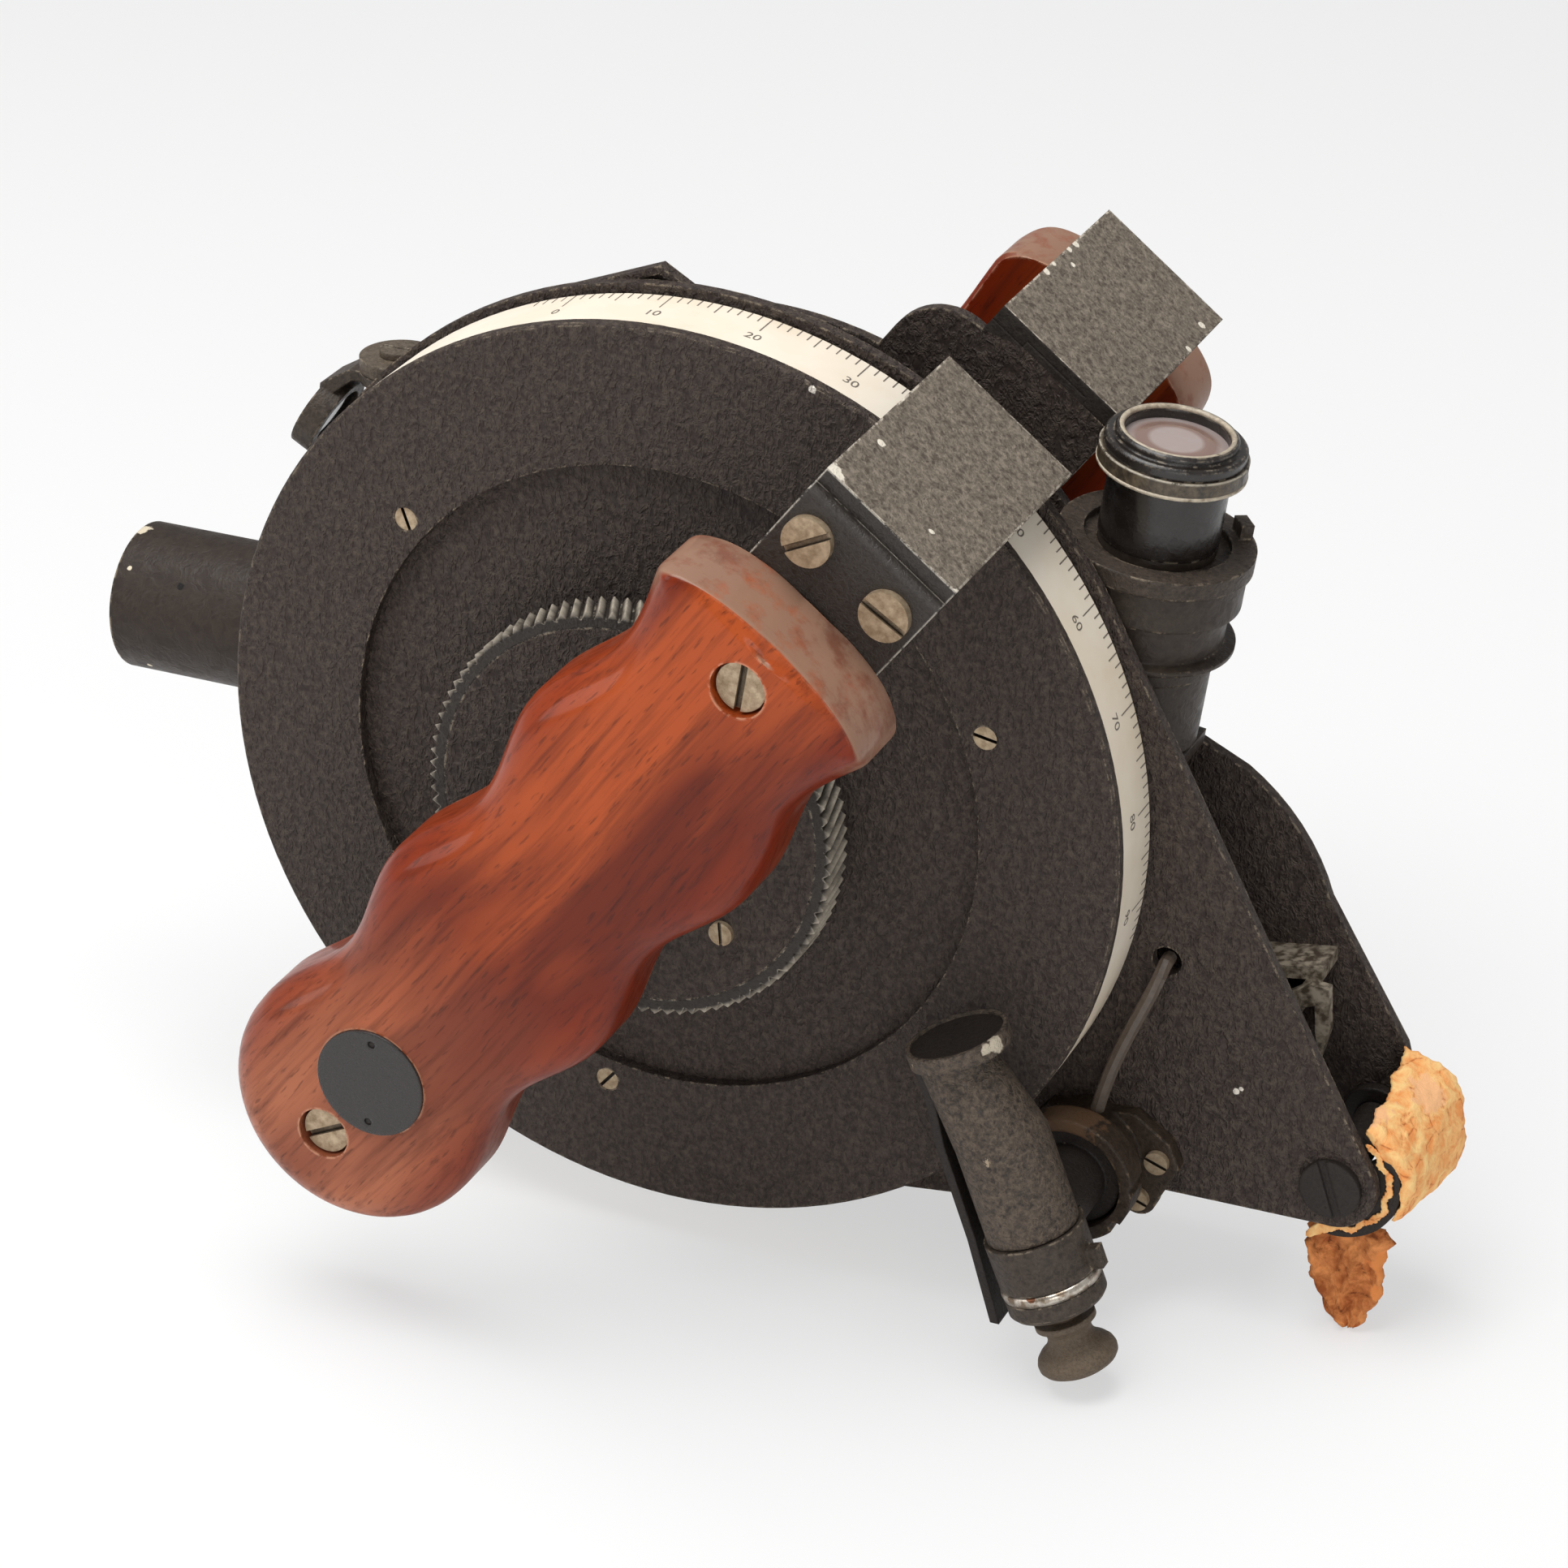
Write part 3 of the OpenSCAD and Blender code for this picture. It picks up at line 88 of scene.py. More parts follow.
def noise(t, coords, scale, detail=3.0, rough=0.55, twist=0.0):
    """Cloudy noise with about scale blotches a metre."""
    return shade(t, "TexNoise", {"Vector": coords, "Scale": scale, "Detail": detail,
                                 "Roughness": rough, "Distortion": twist}).outputs["Fac"]


def ramp(t, value, low, high, to_low=0.0, to_high=1.0):
    """Straight line from to_low at low to to_high at high, held flat outside."""
    return shade(t, "MapRange", {0: value, 1: low, 2: high, 3: to_low, 4: to_high}).outputs[0]


def mixed(t, amount, a, b):
    """Colour a where amount is 0 and b where it is 1."""
    return shade(t, "Mix", {0: amount, 6: a, 7: b}, data_type="RGBA").outputs[2]


def times(t, a, b):
    """Product of two values."""
    return shade(t, "Math", {0: a, 1: b}, operation="MULTIPLY").outputs[0]


def rubbed_edges(t, coords, width, share):
    """Two outputs: 1 where an edge turns within width metres and a coarse noise is above share, else 0; and
    the normal as it would be with its edges rounded over that width."""
    soft = shade(t, "Bevel", {"Radius": width}, samples=6).outputs[0]
    flat = shade(t, "NewGeometry").outputs["Normal"]
    dot = shade(t, "VectorMath", {0: soft, 1: flat}, operation="DOT_PRODUCT").outputs["Value"]
    turn = ramp(t, dot, 0.985, 0.90)
    patch = ramp(t, noise(t, coords, 620, 5, 0.7), share, share + 0.08)
    return times(t, turn, patch), soft


def black_paint(name, deep, pale, grain=900, depth=0.00016, rough=0.6, bare=(176, 164, 146),
                rub=0.58, chips=0.8, width=0.0005, run=1.0, gloss=0.26):
    """Black paint: two tones in broad clouds and fine flecks, wrinkled bump, bare metal at rubbed edges and
    chips. A wrinkle stands where the grain's noise passes its middle value, run times as close along Z."""
    m, t, surf, at = new_finish(name, Specular_IOR_Level=gloss)
    cells = noise(t, shade(t, "Mapping", {0: at, 3: (1, 1, run)}).outputs[0], grain, 3, 0.6, 0.4)
    off = shade(t, "Math", {0: cells, 1: 0.5}, operation="SUBTRACT").outputs[0]
    ridge = ramp(t, shade(t, "Math", {0: off}, operation="ABSOLUTE").outputs[0], 0.0, 0.12, 1.0, 0.0)
    cloud = noise(t, at, 38, 2)
    fleck = ramp(t, noise(t, at, 1.3 * grain, 5, 0.75), 0.42, 0.64)
    tone = shade(t, "Math", {0: times(t, fleck, 0.75), 1: times(t, ridge, 0.4)}, operation="ADD").outputs[0]
    deeps = mixed(t, cloud, colour(*deep), colour(*[c * 1.2 for c in deep]))
    base = mixed(t, tone, deeps, colour(*pale))
    worn, soft = rubbed_edges(t, at, width, rub)
    chip = ramp(t, noise(t, at, 210, 6, 0.75), chips, chips + 0.02)
    lost = shade(t, "Math", {0: worn, 1: chip}, operation="MAXIMUM").outputs[0]
    t.links.new(mixed(t, lost, base, colour(*bare)), surf.inputs["Base Color"])
    t.links.new(ramp(t, cells, 0.3, 0.7, rough - 0.08, rough + 0.12), surf.inputs["Roughness"])
    bump = shade(t, "Bump", {"Strength": 1.0, "Distance": depth, "Height": ridge, "Normal": soft})
    t.links.new(bump.outputs[0], surf.inputs["Normal"])
    return m


def mottled(name, low, high, grain, spread=(0.0, 1.0), rough=(0.5, 0.7), rough_grain=(900,),
            rough_spread=(0.3, 0.7), **surface):
    """Two tones that change over spread of a cloudy noise, and a roughness that changes over rough_spread
    of another. A grain is a noise's scale and detail."""
    m, t, surf, at = new_finish(name, **surface)
    cloud = ramp(t, noise(t, at, *grain), *spread)
    t.links.new(mixed(t, cloud, colour(*low), colour(*high)), surf.inputs["Base Color"])
    t.links.new(ramp(t, noise(t, at, *rough_grain), *rough_spread, *rough), surf.inputs["Roughness"])
    return m


def laid_over(finish, amount, tone):
    """Lays another tone over a finish's own colour, by an amount from 0 to 1."""
    t = finish.node_tree
    base = t.nodes["Principled BSDF"].inputs["Base Color"]
    t.links.new(mixed(t, amount, base.links[0].from_socket, colour(*tone)), base)


def spotted(finish, tone, *spots):
    """Lays round patches of another tone on a finish, each at (x, y, z, radius) in mm, with an uneven rim."""
    t = finish.node_tree
    at = shade(t, "TexCoord").outputs["Object"]
    uneven = ramp(t, noise(t, at, 900, 4), 0.2, 0.8, 0.5, 1.5)
    for x, y, z, radius in spots:
        away = shade(t, "VectorMath", {0: at, 1: (x / 1000, y / 1000, z / 1000)}, operation="DISTANCE")
        inside = ramp(t, times(t, away.outputs["Value"], uneven), radius / 1000, 0.8 * radius / 1000)
        laid_over(finish, inside, tone)


def coat(finish, *names):
    """Paints CAD nodes with a finish."""
    for n in names:
        mesh = parts[n].data
        mesh.materials.clear()
        mesh.materials.append(finish)


crackle = black_paint("crackle_paint", (42, 34, 32), (82, 71, 63), grain=900, depth=0.0002, run=0.6,
                      bare=(152, 138, 118), rub=0.5)
satin = black_paint("satin_black", (30, 26, 24), (46, 40, 36), grain=1500, depth=0.00003, rough=0.42,
                    rub=0.66)
spotted(crackle, (226, 218, 206), (72.3, 11.4, -32.6, 0.5), (72.9, 11.4, -32.1, 0.35),
        (-26.7, 0, 54.2, 0.5), (20.1, 0, 55.9, 0.5))
coat(crackle, "front_plate", "rear_plate", "index_hood")
coat(satin, "inner_wall", "corner_pin")
eye_metal = mottled("bright_bent_strip", (84, 74, 62), (168, 156, 138), (900, 5), (0.4, 0.62), (0.28, 0.5),
                    Metallic=0.3)
coat(eye_metal, "eye_bracket")


# Sight tube: a drawn brass tube on the star side, held by a clamp collar, with a lens behind a screwed ring.
# It is painted black inside and out, and the paint has gone at its end rim.

tube_black = black_paint("tube_black", (40, 32, 27), (54, 45, 38), grain=500, depth=0.00004, rough=0.46,
                         bare=(168, 152, 128), rub=0.48)
spotted(tube_black, (212, 200, 176), (-86, 21, 9.6, 1.1), (-84.4, 14.85, 7, 0.35), (-82.1, 14.5, -6.7, 0.4))
spotted(tube_black, (14, 11, 9), (-76.3, 14.1, 6.2, 0.55))
coat(tube_black, "sight_tube", "tube_collar", "lens_ring")


def clear_glass(name, tint, rough=0.02, milk=0.0, through=0.95):
    """Glass with a faint cloud of dust and scuffs on it."""
    m, t, surf, at = new_finish(name, IOR=1.5, Transmission_Weight=through, Coat_Weight=0.4)
    dust = noise(t, at, 300, 5, 0.7)
    t.links.new(mixed(t, ramp(t, dust, 0.45, 0.8, 0.0, milk), colour(*tint), colour(214, 206, 204)),
                surf.inputs["Base Color"])
    t.links.new(ramp(t, dust, 0.4, 0.8, rough, rough + 0.12), surf.inputs["Roughness"])
    return m


lens_glass = clear_glass("lens_glass", (226, 222, 224))
coat(lens_glass, "objective_lens")


# Brackets and straps: bent brackets carry the grips clear of the body, and a strap is screwed on each flange.
# The treads have lost their sheen and gone grey, and every corner is rubbed or chipped to bare metal.

GRIP_LEAN = np.radians(52)
TREAD_START = 0.0647
TONGUE_START = 0.0605


def up_grips(points):
    """Distance of X, Y, Z points up along the grips from the drum's axis."""
    return points[:, 0] * np.cos(GRIP_LEAN) + points[:, 2] * np.sin(GRIP_LEAN)


def topped(name, finish, start):
    """Gives a CAD node a second finish on the faces whose middles lie beyond start up along the grips."""
    mesh = parts[name].data
    mesh.materials.append(finish)
    middles = np.zeros(len(mesh.polygons) * 3)
    mesh.polygons.foreach_get("center", middles)
    beyond = up_grips(middles.reshape(-1, 3)) > start
    mesh.polygons.foreach_set("material_index", beyond.astype(np.int32))


bracket_black = black_paint("bracket_black", (34, 29, 26), (54, 48, 43), grain=1200, depth=0.00003,
                            rough=0.42, bare=(206, 198, 184), rub=0.42, gloss=0.5)
plain_black = black_paint("plain_black", (34, 29, 26), (54, 48, 43), grain=1200, depth=0.00003, rough=0.5,
                          rub=0.95)
tread = black_paint("worn_tread", (72, 64, 56), (138, 127, 113), grain=900, depth=0.00006, rough=0.55,
                    bare=(222, 211, 194), rub=0.48, chips=0.76, width=0.0007)
spotted(tread, (228, 219, 203), (32.6, -22.8, 56.8, 1.7), (33.6, -11.3, 56, 0.6), (42.4, -17.3, 49.1, 0.4),
        (31.8, -1.2, 57.3, 0.6), (48, -23, 44.6, 0.9), (32.4, 43.5, 56.9, 0.6), (32.3, 46.2, 57, 0.4),
        (32.2, 51.6, 57, 0.5), (32.2, 53.7, 57, 0.6), (33.6, 49.4, 55.9, 0.4), (47.4, 54.4, 45.2, 0.5),
        (46.6, 61.2, 45.8, 0.6))
coat(bracket_black, "front_bracket", "front_strap", "rear_strap")
coat(plain_black, "rear_bracket")
topped("front_bracket", tread, TREAD_START)
topped("rear_bracket", tread, TREAD_START)
topped("rear_plate", plain_black, TONGUE_START)


# Grips: two blocks of reddish hardwood shaped by hand, the front one with finger grooves on both edges
# and the rear one a plain palm rest. They are stained, varnished and screwed through to the straps.

STRAP_FACE = -0.0243
MID_PLANE = 0.0217
GROOVE_START, GROOVE_PITCH = 0.0045, 0.031
FRONT_TOP, REAR_TOP = 0.0516, 0.0536
# Each seat is given by its distance up along the grip, its radius and the Y of its floor.
SCREW_SEATS = [(0.0444, 0.0034, -0.0342), (-0.047, 0.0034, -0.0342)]
BADGE_SEAT = (-0.0355, 0.00717, -0.0357)


def grid_faces(rows, cols, closed_rows=False, closed_cols=True):
    """Corner numbers of the quads of a rows by cols grid of points, wrapped round where closed."""
    i = np.arange(rows if closed_rows else rows - 1)[:, None]
    j = np.arange(cols if closed_cols else cols - 1)[None, :]
    i2, j2 = (i + 1) % rows, (j + 1) % cols
    return np.stack([i * cols + j, i * cols + j2, i2 * cols + j2, i2 * cols + j], -1).reshape(-1, 4)


def placed(name, data):
    """A new object in the scene that holds data."""
    thing = bpy.data.objects.new(name, data)
    bpy.context.scene.collection.objects.link(thing)
    return thing


def mended(mesh, weld=None, outward=True):
    """Welds a mesh's corners that lie within weld of each other and turns its faces outwards."""
    b = bmesh.new()
    b.from_mesh(mesh)
    if weld:
        bmesh.ops.remove_doubles(b, verts=b.verts, dist=weld)
    if outward:
        bmesh.ops.recalc_face_normals(b, faces=b.faces)
    b.to_mesh(mesh)
    b.free()


def surface(name, points, faces, finish, smooth=True, weld=0.00002):
    """A new piece from an array of points and an array of quads, welded along its seams, facing outwards."""
    mesh = bpy.data.meshes.new(name)
    mesh.from_pydata(np.asarray(points, float).reshape(-1, 3).tolist(), [], np.asarray(faces).tolist())
    mended(mesh, weld)
    if smooth:
        mesh.shade_smooth()
    mesh.materials.append(finish)
    return placed(name, mesh)


def leaned(x, y, z):
    """Points along, behind and across an upright grip, turned about Y onto the real grips' lean."""
    c, s = np.cos(GRIP_LEAN), np.sin(GRIP_LEAN)
    return np.stack([x * c - z * s, y, x * s + z * c], -1)


def half_width(x, mean, wave):
    """Half the grip's width at x along it: its mean, less a cosine wave for the finger grooves."""
    return mean - wave * np.cos(2 * np.pi * (x - GROOVE_START) / GROOVE_PITCH)


def grip_surface(name, mean, wave, top, finish, rear=False):
    """Outline points go down the left edge, round the foot, up the right edge and across the top, which is a
    flattened half round. From each, rows run in from the back's middle line to the outline, up the side,
    over a rounded edge and across a crowned face to the middle line again, so that one grid closes on itself
    along that line. The edge's radius falls to a sharp one at the top by a logistic curve."""
    foot, thick, crown = -0.0427, 0.0125, 0.0009
    round_r, top_r, sharp_r = 0.0052, 0.007, 0.0006
    a = np.linspace(-np.pi / 2, -3 * np.pi / 2, 49)[:-1]
    foot_r = half_width(np.array(foot), mean, wave)
    side = np.linspace(foot, top - top_r, 110)[:-1]
    b = np.linspace(0, np.pi, 61)
    power = 2 / 2.3
    top_x = top - top_r + top_r * np.abs(np.sin(b)) ** power
    top_z = half_width(top_x, mean, wave) * np.sign(np.cos(b)) * np.abs(np.cos(b)) ** power
    x = np.concatenate([foot + foot_r * np.cos(a), side, top_x, side[:0:-1]])
    z = np.concatenate([foot_r * np.sin(a), half_width(side, mean, wave), top_z,
                        -half_width(side[:0:-1], mean, wave)])
    middle = np.clip(x, foot, top - 0.0022)
    reach = np.hypot(x - middle, z)
    at_top = 1 / (1 + np.exp(-(x - (top - 0.0045)) / 0.0007))
    edge = round_r * (1 - at_top) + sharp_r * at_top
    q = np.linspace(0, np.pi / 2, 9)[None, :]
    out = 1 - np.cos(q)
    face = np.linspace(0, 1, 24)[None, 1:]
    ones = np.ones((len(x), 1))
    run_in = np.concatenate([ones, 0.5 * ones, sharp_r / reach[:, None], 0 * ones, 0 * ones,
                             edge[:, None] * out / reach[:, None],
                             (edge / reach)[:, None] * (1 - face) + face], 1)
    drop = np.concatenate([edge[:, None] * (1 - np.sin(q)), 0 * face * ones], 1)
    y = np.concatenate([0 * ones, 0 * ones, 0 * ones, sharp_r * ones, 0.5 * (thick - edge)[:, None],
                        thick - drop], 1)
    rise = np.clip(run_in * reach[:, None] / mean, 0, 1)
    y[:, 5:] -= crown * (1 - rise[:, 5:]) ** 2
    px = x[:, None] + (middle - x)[:, None] * run_in
    pz = z[:, None] * (1 - run_in)
    py = STRAP_FACE - y
    points = leaned(px, 2 * MID_PLANE - py if rear else py, pz)
    return surface(name, points, grid_faces(*points.shape[:2], closed_rows=True, closed_cols=False), finish)


def varnished_wood(name, top):
    """Hardwood: broad flames and fine streaks drawn out along the grip, dark pores, a red stain and varnish.
    It is redder down the scooped sides and paler toward the foot, a painted highlight, and shows end grain
    on the wall at top under a painted pale sheen."""
    m, t, surf, at = new_finish(name, Specular_IOR_Level=0.1, Coat_Weight=0.3, Coat_Roughness=0.1,
                                Coat_IOR=1.5)
    along = shade(t, "Mapping", {0: at, 2: (0, GRIP_LEAN, 0)}).outputs[0]
    bend = noise(t, along, 18, 1)
    bends = shade(t, "CombineXYZ", {0: bend, 1: bend, 2: bend}).outputs[0]
    sway = shade(t, "VectorMath", {0: bends, 1: (0.0, 0.004, 0.008)}, operation="MULTIPLY").outputs[0]
    swayed = shade(t, "VectorMath", {0: along, 1: sway}, operation="ADD").outputs[0]
    flames = noise(t, shade(t, "Mapping", {0: swayed, 3: (0.2, 1, 1)}).outputs[0], 75, 3, 0.5)
    streaks = noise(t, shade(t, "Mapping", {0: swayed, 3: (0.05, 1, 1)}).outputs[0], 1000, 4, 0.6)
    pores = noise(t, shade(t, "Mapping", {0: swayed, 3: (0.14, 1, 1)}).outputs[0], 2300, 2, 0.5)
    place = shade(t, "SeparateXYZ", {0: along})
    body = mixed(t, ramp(t, flames, 0.44, 0.62), colour(104, 34, 10), colour(172, 76, 32))
    # Painted highlight: the face turns paler toward the foot.
    foot = times(t, ramp(t, place.outputs[0], -0.008, -0.045, 0.0, 0.9),
                 ramp(t, flames, 0.35, 0.6, 0.45, 1.0))
    body = mixed(t, foot, body, colour(172, 106, 76))
    across = shade(t, "Math", {0: place.outputs[2]}, operation="ABSOLUTE").outputs[0]
    body = mixed(t, ramp(t, across, 0.0095, 0.0145, 0.0, 0.7), body, colour(118, 34, 6))
    body = mixed(t, ramp(t, streaks, 0.48, 0.72, 0.0, 0.55), body, colour(66, 20, 6))
    body = mixed(t, ramp(t, pores, 0.6, 0.7, 0.0, 0.45), body, colour(48, 18, 8))
    # Painted sheen over the end grain: the top wall, which faces up rather than to the front, is laid over in a
    # pale tone.
    facing = shade(t, "SeparateXYZ", {0: shade(t, "TexCoord").outputs["Normal"]}).outputs["Y"]
    frontal = shade(t, "Math", {0: facing}, operation="ABSOLUTE").outputs[0]
    on_wall = times(t, ramp(t, place.outputs[0], top - 0.0085, top - 0.0055), ramp(t, frontal, 0.75, 0.45))
    wall = times(t, on_wall, ramp(t, noise(t, at, 300, 5, 0.65), 0.36, 0.54, 0.45, 0.95))
    body = mixed(t, wall, body, colour(148, 114, 94))
    worn, _ = rubbed_edges(t, at, 0.0006, 0.44)
    body = mixed(t, times(t, worn, 0.7), body, colour(214, 160, 128))
    t.links.new(body, surf.inputs["Base Color"])
    t.links.new(ramp(t, streaks, 0.3, 0.7, 0.36, 0.52), surf.inputs["Roughness"])
    bump = shade(t, "Bump", {"Strength": 0.6, "Distance": 0.00003, "Height": streaks})
    t.links.new(bump.outputs[0], surf.inputs["Normal"])
    return m


def bored(piece, finish, seats, rear=False):
    """Cuts round seats for the screws and the badge into a grip, each with a cutter that runs from in front
    of the grip's face to the seat's floor, or with that cutter's mirror image for the rear grip."""
    sides, start_y = 64, -0.045
    caps = [list(range(sides)), list(range(2 * sides - 1, sides - 1, -1))]
    a = np.linspace(0, 2 * np.pi, sides + 1)[:-1]
    for along, r, floor_y in seats:
        y = np.array([start_y, floor_y])[:, None] + 0 * a
        y = 2 * MID_PLANE - y if rear else y
        x, z = np.broadcast_to(along + r * np.cos(a), y.shape), np.broadcast_to(r * np.sin(a), y.shape)
        mesh = bpy.data.meshes.new("cutter")
        mesh.from_pydata(leaned(x, y, z).reshape(-1, 3).tolist(), [], grid_faces(2, sides).tolist() + caps)
        mended(mesh)
        cutter = placed("cutter", mesh)
        cut = piece.modifiers.new("hole", "BOOLEAN")
        cut.operation, cut.object, cut.solver = "DIFFERENCE", cutter, "EXACT"
        bpy.context.view_layer.update()
        done = bpy.data.meshes.new_from_object(piece.evaluated_get(bpy.context.evaluated_depsgraph_get()))
        piece.modifiers.clear()
        piece.data = done
        bpy.data.objects.remove(cutter)
    piece.data.materials.clear()
    piece.data.materials.append(finish)
    piece.data.shade_smooth()
    piece.data.set_sharp_from_angle(angle=np.radians(35))


front_wood = varnished_wood("front_grip_varnish", FRONT_TOP)
grip = grip_surface("front_grip_wood", 0.0154, 0.0016, FRONT_TOP, front_wood)
bored(grip, front_wood, SCREW_SEATS + [BADGE_SEAT])
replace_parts(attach(grip, "housing"), "front_grip")
rear_wood = varnished_wood("rear_grip_varnish", REAR_TOP)
palm = grip_surface("rear_grip_wood", 0.0161, 0.0005, REAR_TOP, rear_wood, rear=True)
bored(palm, rear_wood, SCREW_SEATS, rear=True)
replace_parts(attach(palm, "housing"), "rear_grip")


# Screws: slotted screws turned from brass and once nickelled, now dull and mottled, with painted shade
# darkening their slots.
# The badge's two pins are blackened.

old_nickel, t, surf, at = new_finish("old_nickel", Metallic=0.55)
mottle = noise(t, at, 900, 5, 0.7)
tarnish = mixed(t, ramp(t, mottle, 0.35, 0.65), colour(146, 124, 98), colour(190, 170, 142))
# Painted shade: wherever ambient occlusion finds a hollow, such as a slot, the colour turns dark brown.
painted_slot_shade = shade(t, "AmbientOcclusion", {"Distance": 0.0008}, samples=6, only_local=True).outputs["AO"]
t.links.new(mixed(t, ramp(t, painted_slot_shade, 0.62, 0.86), colour(34, 26, 20), tarnish), surf.inputs["Base Color"])
t.links.new(ramp(t, mottle, 0.3, 0.7, 0.55, 0.38), surf.inputs["Roughness"])
bump = shade(t, "Bump", {"Strength": 0.5, "Distance": 0.00005, "Height": mottle})
t.links.new(bump.outputs[0], surf.inputs["Normal"])
coat(old_nickel, "strap_screws", "grip_screws", "drum_screws", "wheel_screws", "lamp_base_screws")
coat(satin, "badge_pins")


# Badge: a bare domed disc of black plastic let into the front grip and held by two pins.
# Its face is smooth and has kept a low gloss.

badge_black = black_paint("badge_black", (36, 32, 31), (46, 42, 40), grain=2600, depth=0.00001, rough=0.26,
                          rub=0.95, chips=0.95, gloss=0.5)
coat(badge_black, "badge")


# Drum: a turned disc with an inlaid centre plate, a white graduated rim and a knurled thumb wheel in front.
# The faces are crackle painted, the rim is white enamel with black lines, and the teeth are worn bright.

RIM_R = 0.06
ZERO_ANGLE, DRUM_PER_DEGREE = 105, 1.25
INK = 0.00002
LINE_HALF_WIDTH, LINE_REAR = 0.00008, 0.01055
NUMERAL_SIZE, NUMERAL_FOOT = 0.0021, 0.0042
TOOTH_ROOT, TOOTH_TIP = 0.0263, 0.0269

coat(crackle, "drum_disc", "centre_disc", "wheel_cap")
enamel = mottled("white_enamel", (238, 228, 212), (222, 207, 184), (60, 4), (0.35, 0.7), (0.5, 0.62), (60, 4))
coat(enamel, "scale_band")


def scale_angle(degree):
    """Angle up from +X at which a degree of the scale stands on the drum's rim."""
    return np.radians(ZERO_ANGLE - DRUM_PER_DEGREE * degree)


def rim_place(round_rim, across, out):
    """Points on the drum's rim: an angle up from +X, a distance back along Y, a height over the enamel."""
    r = RIM_R + out
    return np.stack([r * np.cos(round_rim), across + 0 * r, r * np.sin(round_rim)], -1)


# Lines: one for each degree, longer at the fives and longest at the tens, each a thin box of eight corners.
degree = np.arange(-4, 95)
length = np.where(degree % 10 == 0, 0.0038, np.where(degree % 5 == 0, 0.0025, 0.0016))
corner = np.array([[i, j, k] for i in (-1, 1) for j in (0, 1) for k in (0, 1)])
turn = scale_angle(degree)[:, None] + corner[None, :, 0] * LINE_HALF_WIDTH / RIM_R
back = LINE_REAR - length[:, None] * corner[None, :, 1]
line_points = rim_place(turn, back, (corner[None, :, 2] * 2 - 1) * INK)
box_faces = np.array([[0, 1, 3, 2], [4, 6, 7, 5], [0, 4, 5, 1], [2, 3, 7, 6], [0, 2, 6, 4], [1, 5, 7, 3]])
line_faces = (np.arange(len(degree))[:, None, None] * 8 + box_faces[None]).reshape(-1, 4)
black_fill = mottled("black_fill", (64, 58, 54), (140, 130, 118), (2500, 4))
lines = surface("scale_lines", line_points, line_faces, black_fill, smooth=False, weld=0.000001)
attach(lines, "drum")

# Numerals: flat text for each ten, bent round the rim in front of the lines.
for ten in range(0, 100, 10):
    font = bpy.data.curves.new("numeral", "FONT")
    font.body, font.size, font.extrude, font.align_x = str(ten), NUMERAL_SIZE, INK, "CENTER"
    text = placed("numeral", font)
    bpy.context.view_layer.update()
    mesh = bpy.data.meshes.new_from_object(text.evaluated_get(bpy.context.evaluated_depsgraph_get()))
    flat = np.zeros(len(mesh.vertices) * 3)
    mesh.vertices.foreach_get("co", flat)
    flat = flat.reshape(-1, 3)
    wrapped = rim_place(scale_angle(ten) - flat[:, 0] / RIM_R, NUMERAL_FOOT + flat[:, 1], flat[:, 2])
    mesh.vertices.foreach_set("co", wrapped.ravel())
    mended(mesh, 0.000001, outward=False)
    mesh.materials.clear()
    mesh.materials.append(black_fill)
    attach(placed(f"numeral_{ten}", mesh), "drum")
    bpy.data.objects.remove(text)

# Thumb wheel: black like the rest, with its teeth's tips rubbed bright.
knurl = black_paint("worn_knurl", (40, 36, 33), (60, 54, 48), grain=1300, depth=0.00004, rough=0.36,
                    bare=(180, 170, 154), rub=0.5, width=0.0003)
t = knurl.node_tree
at = shade(t, "TexCoord").outputs["Object"]
from_axis = shade(t, "VectorMath", {0: at, 1: (1, 0, 1)}, operation="MULTIPLY").outputs[0]
from_axis = shade(t, "VectorMath", {0: from_axis}, operation="LENGTH").outputs["Value"]
rubbing = ramp(t, noise(t, at, 420, 4), 0.3, 0.6, 0.25, 1.0)
laid_over(knurl, times(t, ramp(t, from_axis, TOOTH_ROOT, TOOTH_TIP), rubbing), (184, 174, 158))
coat(knurl, "thumb_wheel")


# Spindle, mirror and their bearings: a steel spindle turns in a brass bush and drives the mirror by a
# toothed sector. They sit between the plates, clean and lightly oiled.

oiled_steel = mottled("oiled_steel", (148, 146, 142), (186, 184, 180), (700,), rough=(0.25, 0.42),
                      rough_grain=(1500,), Metallic=1.0)
coat(oiled_steel, "spindle", "mirror_arbor", "knob_spring")
worn_brass = mottled("worn_brass", (136, 108, 66), (206, 178, 124), (500, 5), rough=(0.3, 0.5), Metallic=0.9)
coat(worn_brass, "spindle_bush", "arbor_bushes")
coat(satin, "mirror_table")
silvered = mottled("silvered_glass", (222, 224, 224), (160, 160, 158), (200, 5), (0.5, 0.8), (0.03, 0.2),
                   (300, 5), (0.4, 0.8), Metallic=1.0, Coat_Weight=0.5)
coat(silvered, "index_mirror")


# Bubble unit: a turned chamber with the liquid cell, a knurled ring that sets the bubble's size, and an
# eyepiece. Black lacquer on brass, worn brown and grey where hands turn it.

BUBBLE_FOOT, BUBBLE_LEAN = (49.6, 25.5, 0), 8.2
EYE_MIDDLE = (0.0562, 0.0255, 0.0461)

